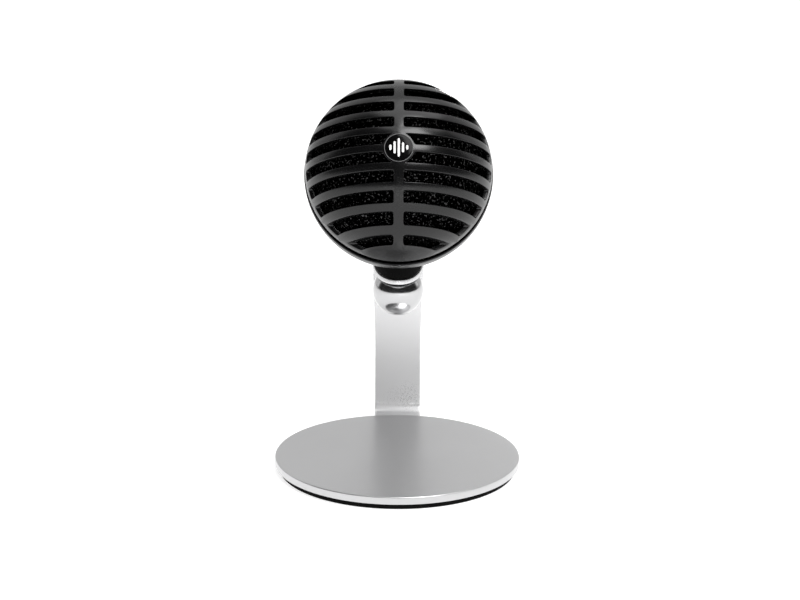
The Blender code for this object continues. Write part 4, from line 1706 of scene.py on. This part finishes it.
@dataclass
class Thumbscrew:
    """The ball knob, its threaded stud, the washer and the bush in the arm's slot."""

    knob_radius: float = 9.25 * MM
    knob_centre: float = 48.1 * MM
    face: float = 42.4 * MM
    stud_radius: float = 3.0 * MM
    bore: float = 3.3 * MM
    pitch: float = 1.27 * MM
    thread: float = 0.34 * MM
    bore_end: float = 47.2 * MM
    stud_span: Point2 = (26.2 * MM, 46.8 * MM)
    stud_bevel: float = 0.6 * MM
    thread_end: float = 41.0 * MM
    thread_rows: int = 200
    ease: float = 0.18 * MM
    washer_radius: float = 6.6 * MM
    washer_span: Point2 = (41.3 * MM, 42.1 * MM)
    flange_radius: float = 7.0 * MM
    flange_span: Point2 = (40.2 * MM, 41.0 * MM)
    barrel_radius: float = 4.0 * MM
    barrel_low: float = 34.6 * MM

    def knob(self) -> bpy.types.Object:
        """The polished ball."""
        tip = self.knob_centre + self.knob_radius
        ball = arc(self.knob_radius, tip, self.face + 0.5 * MM, 72, self.knob_centre)
        ball[0] = (0.0, tip)
        flat = math.sqrt(self.knob_radius ** 2 - (self.face - self.knob_centre) ** 2)
        edge = rounded([ball[-1], (flat, self.face, 0.3 * MM), (self.bore + 0.3 * MM, self.face),
                        (self.bore, self.face + 0.3 * MM), (self.bore, self.bore_end),
                        (0.0, self.bore_end)])[1:]
        piece = finish_mesh("ball_knob", revolve(ball + edge, 144), STUD, Palette.KNOB, "thumbscrew",
                            "polished_metal", sharp=30.0)
        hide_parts("thumbscrew_knob")
        return piece

    def stud(self) -> bpy.types.Object:
        """The stud with its helical thread."""
        low, high = self.stud_span
        start = low + self.stud_bevel

        def groove(angle: float, radius: float, z: float) -> float:
            """The thread's depth at a point.

            Args:
                angle: The point's angle round the stud.
                radius: Its distance from the axis.
                z: Its height.

            Returns:
                The change in radius.
            """
            if radius < self.stud_radius - 0.05 * MM or z > self.thread_end:
                return 0.0
            turn = (z / self.pitch - angle / (2.0 * math.pi)) % 1.0
            return -self.thread * (1.0 - abs(2.0 * turn - 1.0))

        profile = [(0.0, low), (self.stud_radius - self.stud_bevel, low)]
        profile += [(self.stud_radius, start + (high - start) * i / self.thread_rows)
                    for i in range(self.thread_rows + 1)]
        profile.append((0.0, high))
        piece = finish_mesh("threaded_stud", revolve(profile, 48, wave=groove), STUD, Palette.STEEL,
                            "thumbscrew", "screw_steel", sharp=50.0)
        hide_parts("thumbscrew_stud")
        return piece

    def washer(self) -> bpy.types.Object:
        """The clamp washer."""
        low, high = self.washer_span
        profile = round_loop([(self.washer_radius, low, self.ease), (self.washer_radius, high, self.ease),
                              (self.bore, high, self.ease), (self.bore, low, self.ease)])
        piece = finish_mesh("washer", revolve(profile, 96, loop=True), STUD, Palette.STEEL, "clamp",
                            "screw_steel")
        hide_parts("clamp_washer")
        return piece

    def bush(self) -> bpy.types.Object:
        """The flanged bush that slides in the slot."""
        low, high = self.flange_span
        profile = round_loop([
            (self.flange_radius, high, self.ease), (self.flange_radius, low, self.ease),
            (self.barrel_radius, low, 0.0), (self.barrel_radius, self.barrel_low, self.ease),
            (self.bore, self.barrel_low, self.ease), (self.bore, high, self.ease)])
        piece = finish_mesh("flanged_bush", revolve(profile, 96, loop=True), STUD, Palette.BUSH_BLACK,
                            "tilt_bush", "grey_plastic")
        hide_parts("slot_bush")
        return piece

    def build(self) -> List[bpy.types.Object]:
        """Build the thumbscrew's pieces."""
        return [self.knob(), self.stud(), self.washer(), self.bush()]


# ---------------------------------------------------------------------------- inner works


@dataclass
class InnerWorks:
    """The CAD nodes that stay as they are and get a finish of their own."""

    looks: Dict[str, Palette] = field(default_factory=lambda: {
        "arm_screw": Palette.STEEL, "chassis_screw": Palette.STEEL, "board_screw": Palette.STEEL,
        "mode_switch": Palette.STEEL, "mute_switch": Palette.STEEL, "dial_shaft": Palette.STEEL,
        "capsule_grid": Palette.STEEL, "chassis": Palette.GREY, "capsule_holder": Palette.GREY,
        "volume_pot": Palette.GREY, "shock_ring": Palette.RUBBER, "capsule": Palette.BRASS,
        "threaded_insert": Palette.BRASS, "main_board": Palette.BOARD, "codec_chip": Palette.SATIN_BLACK})

    def dress(self) -> List[str]:
        """Give each shown CAD node the finish of the longest matching name."""
        dressed = []
        for name, node in frame["nodes"].items():
            if node.hide_render:
                continue
            match = max((key for key in self.looks if name.startswith(key)), key=len)
            for place in node.material_slots:
                place.material = self.looks[match].value.material()
            dressed.append(name)
        return dressed


# ---------------------------------------------------------------------------- studio


@dataclass
class Lamp:
    """A flat softbox; one that isn't mirrored gives light but stays out of mirror reflections."""

    name: str
    at: Point3
    aim: Point3
    size: Point2
    radiance: float
    mirrored: bool = True

    def build(self) -> bpy.types.Object:
        """Hang the softbox and turn it to its aim."""
        light = bpy.data.lights.new(self.name, "AREA")
        light.shape = "RECTANGLE"
        light.size, light.size_y = self.size
        light.energy = self.radiance * math.pi * self.size[0] * self.size[1]
        item = bpy.data.objects.new(self.name, light)
        item.visible_glossy = self.mirrored
        item.visible_camera = False
        away = Vector(self.at) - Vector(self.aim)
        item.matrix_world = Matrix.Translation(self.at) @ away.to_track_quat("Z", "Y").to_matrix().to_4x4()
        bpy.context.scene.collection.objects.link(item)
        return item


@dataclass
class Studio:
    """A pale floor, softboxes, the room's own light and the camera."""

    floor_half: float = 6.0
    room: Point2 = (0.03, 0.80)
    focal: float = 125.37
    sensor: float = 36.0
    shift: float = 0.0025
    roll: float = math.radians(0.3)
    camera_at: Point3 = (0.0, -0.9583, 0.3497)
    forward: Point3 = (0.0, 0.9583, -0.2859)
    lamps: Tuple[Lamp, ...] = (
        Lamp("overhead", (0.42, 0.25, 2.2), (0.15, 0.2, 0.0), (1.5, 2.4), 2.2),
        Lamp("left_box", (-1.3, 0.45, 0.6), (0.0, 0.0, 0.1), (0.3, 0.9), 0.45),
        Lamp("right_box", (1.3, 0.35, 0.7), (0.0, 0.0, 0.1), (0.4, 1.0), 0.6),
        Lamp("key", (0.52, -0.80, 1.48), (0.0, 0.0, 0.1), (0.75, 1.1), 11.0),
        Lamp("fill", (0.1, -1.2, 0.15), (0.0, 0.0, 0.05), (0.8, 0.2), 30.0, mirrored=False),
        Lamp("glint", (0.17, 1.5, 0.07), (0.0, 0.0, 0.12), (0.12, 0.06), 30.0),
    )

    def floor(self) -> bpy.types.Object:
        """The plain floor."""
        shape = bmesh.new()
        bmesh.ops.create_grid(shape, x_segments=4, y_segments=4, size=self.floor_half)
        mesh = bpy.data.meshes.new("studio_floor")
        shape.to_mesh(mesh)
        shape.free()
        mesh.materials.append(Palette.SWEEP.value.material())
        item = bpy.data.objects.new("studio_floor", mesh)
        bpy.context.scene.collection.objects.link(item)
        return item

    def world(self) -> None:
        """A room that is bright behind the object and dim behind the camera."""
        world = bpy.data.worlds.new("studio_room")
        world.use_nodes = True
        graph = Graph(world.node_tree)
        way = graph.node("ShaderNodeTexCoord").outputs["Generated"]
        parts = graph.node("ShaderNodeSeparateXYZ", None, {"Vector": way})
        depth = Field(graph, parts.outputs["Y"])
        low, high = self.room
        level = low + (high - low) * depth.step(0.0, 0.6)
        light = graph.node("ShaderNodeBackground", None,
                           {"Color": (1.0, 1.0, 1.0, 1.0), "Strength": level})
        graph.node("ShaderNodeOutputWorld", None, {"Surface": light.outputs[0]})
        bpy.context.scene.world = world

    def camera(self) -> bpy.types.Object:
        """The camera at the object's front, looking slightly down."""
        lens = bpy.data.cameras.new("camera")
        lens.lens = self.focal
        lens.sensor_width = self.sensor
        lens.shift_x = self.shift
        lens.clip_end = 50.0
        item = bpy.data.objects.new("camera", lens)
        back = -Vector(self.forward).normalized()
        side = Vector((1.0, 0.0, 0.0))
        up = back.cross(side)
        turn = Matrix((side, up, back)).transposed().to_4x4()
        item.matrix_world = Matrix.Translation(self.camera_at) @ turn @ Matrix.Rotation(self.roll, 4, "Z")
        bpy.context.scene.collection.objects.link(item)
        bpy.context.scene.camera = item
        return item

    def build(self) -> List[bpy.types.Object]:
        """Set the whole studio up."""
        self.world()
        bpy.context.scene.view_settings.view_transform = "Standard"
        return [self.floor(), self.camera()] + [lamp.build() for lamp in self.lamps]


# ---------------------------------------------------------------------------- all of it


def main() -> None:
    """Build every sub-assembly in order and report its pieces."""
    logging.basicConfig(level=logging.INFO, format="%(name)s: %(message)s")
    steps: List[Tuple[str, Callable[[], Any]]] = [
        ("grille", Grille().build), ("badge", Badge().build), ("foam", FoamDome().build),
        ("rear shell", RearShell().build), ("rear controls", RearControls().build),
        ("stand", Stand().build), ("thumbscrew", Thumbscrew().build),
        ("inner works", InnerWorks().dress), ("studio", Studio().build)]
    for title, build in steps:
        made = build()
        names = [getattr(item, "name", item) for item in (made if isinstance(made, list) else [made])]
        LOG.info("%s: %s", title, ", ".join(names))


if __name__ == "__main__":
    main()
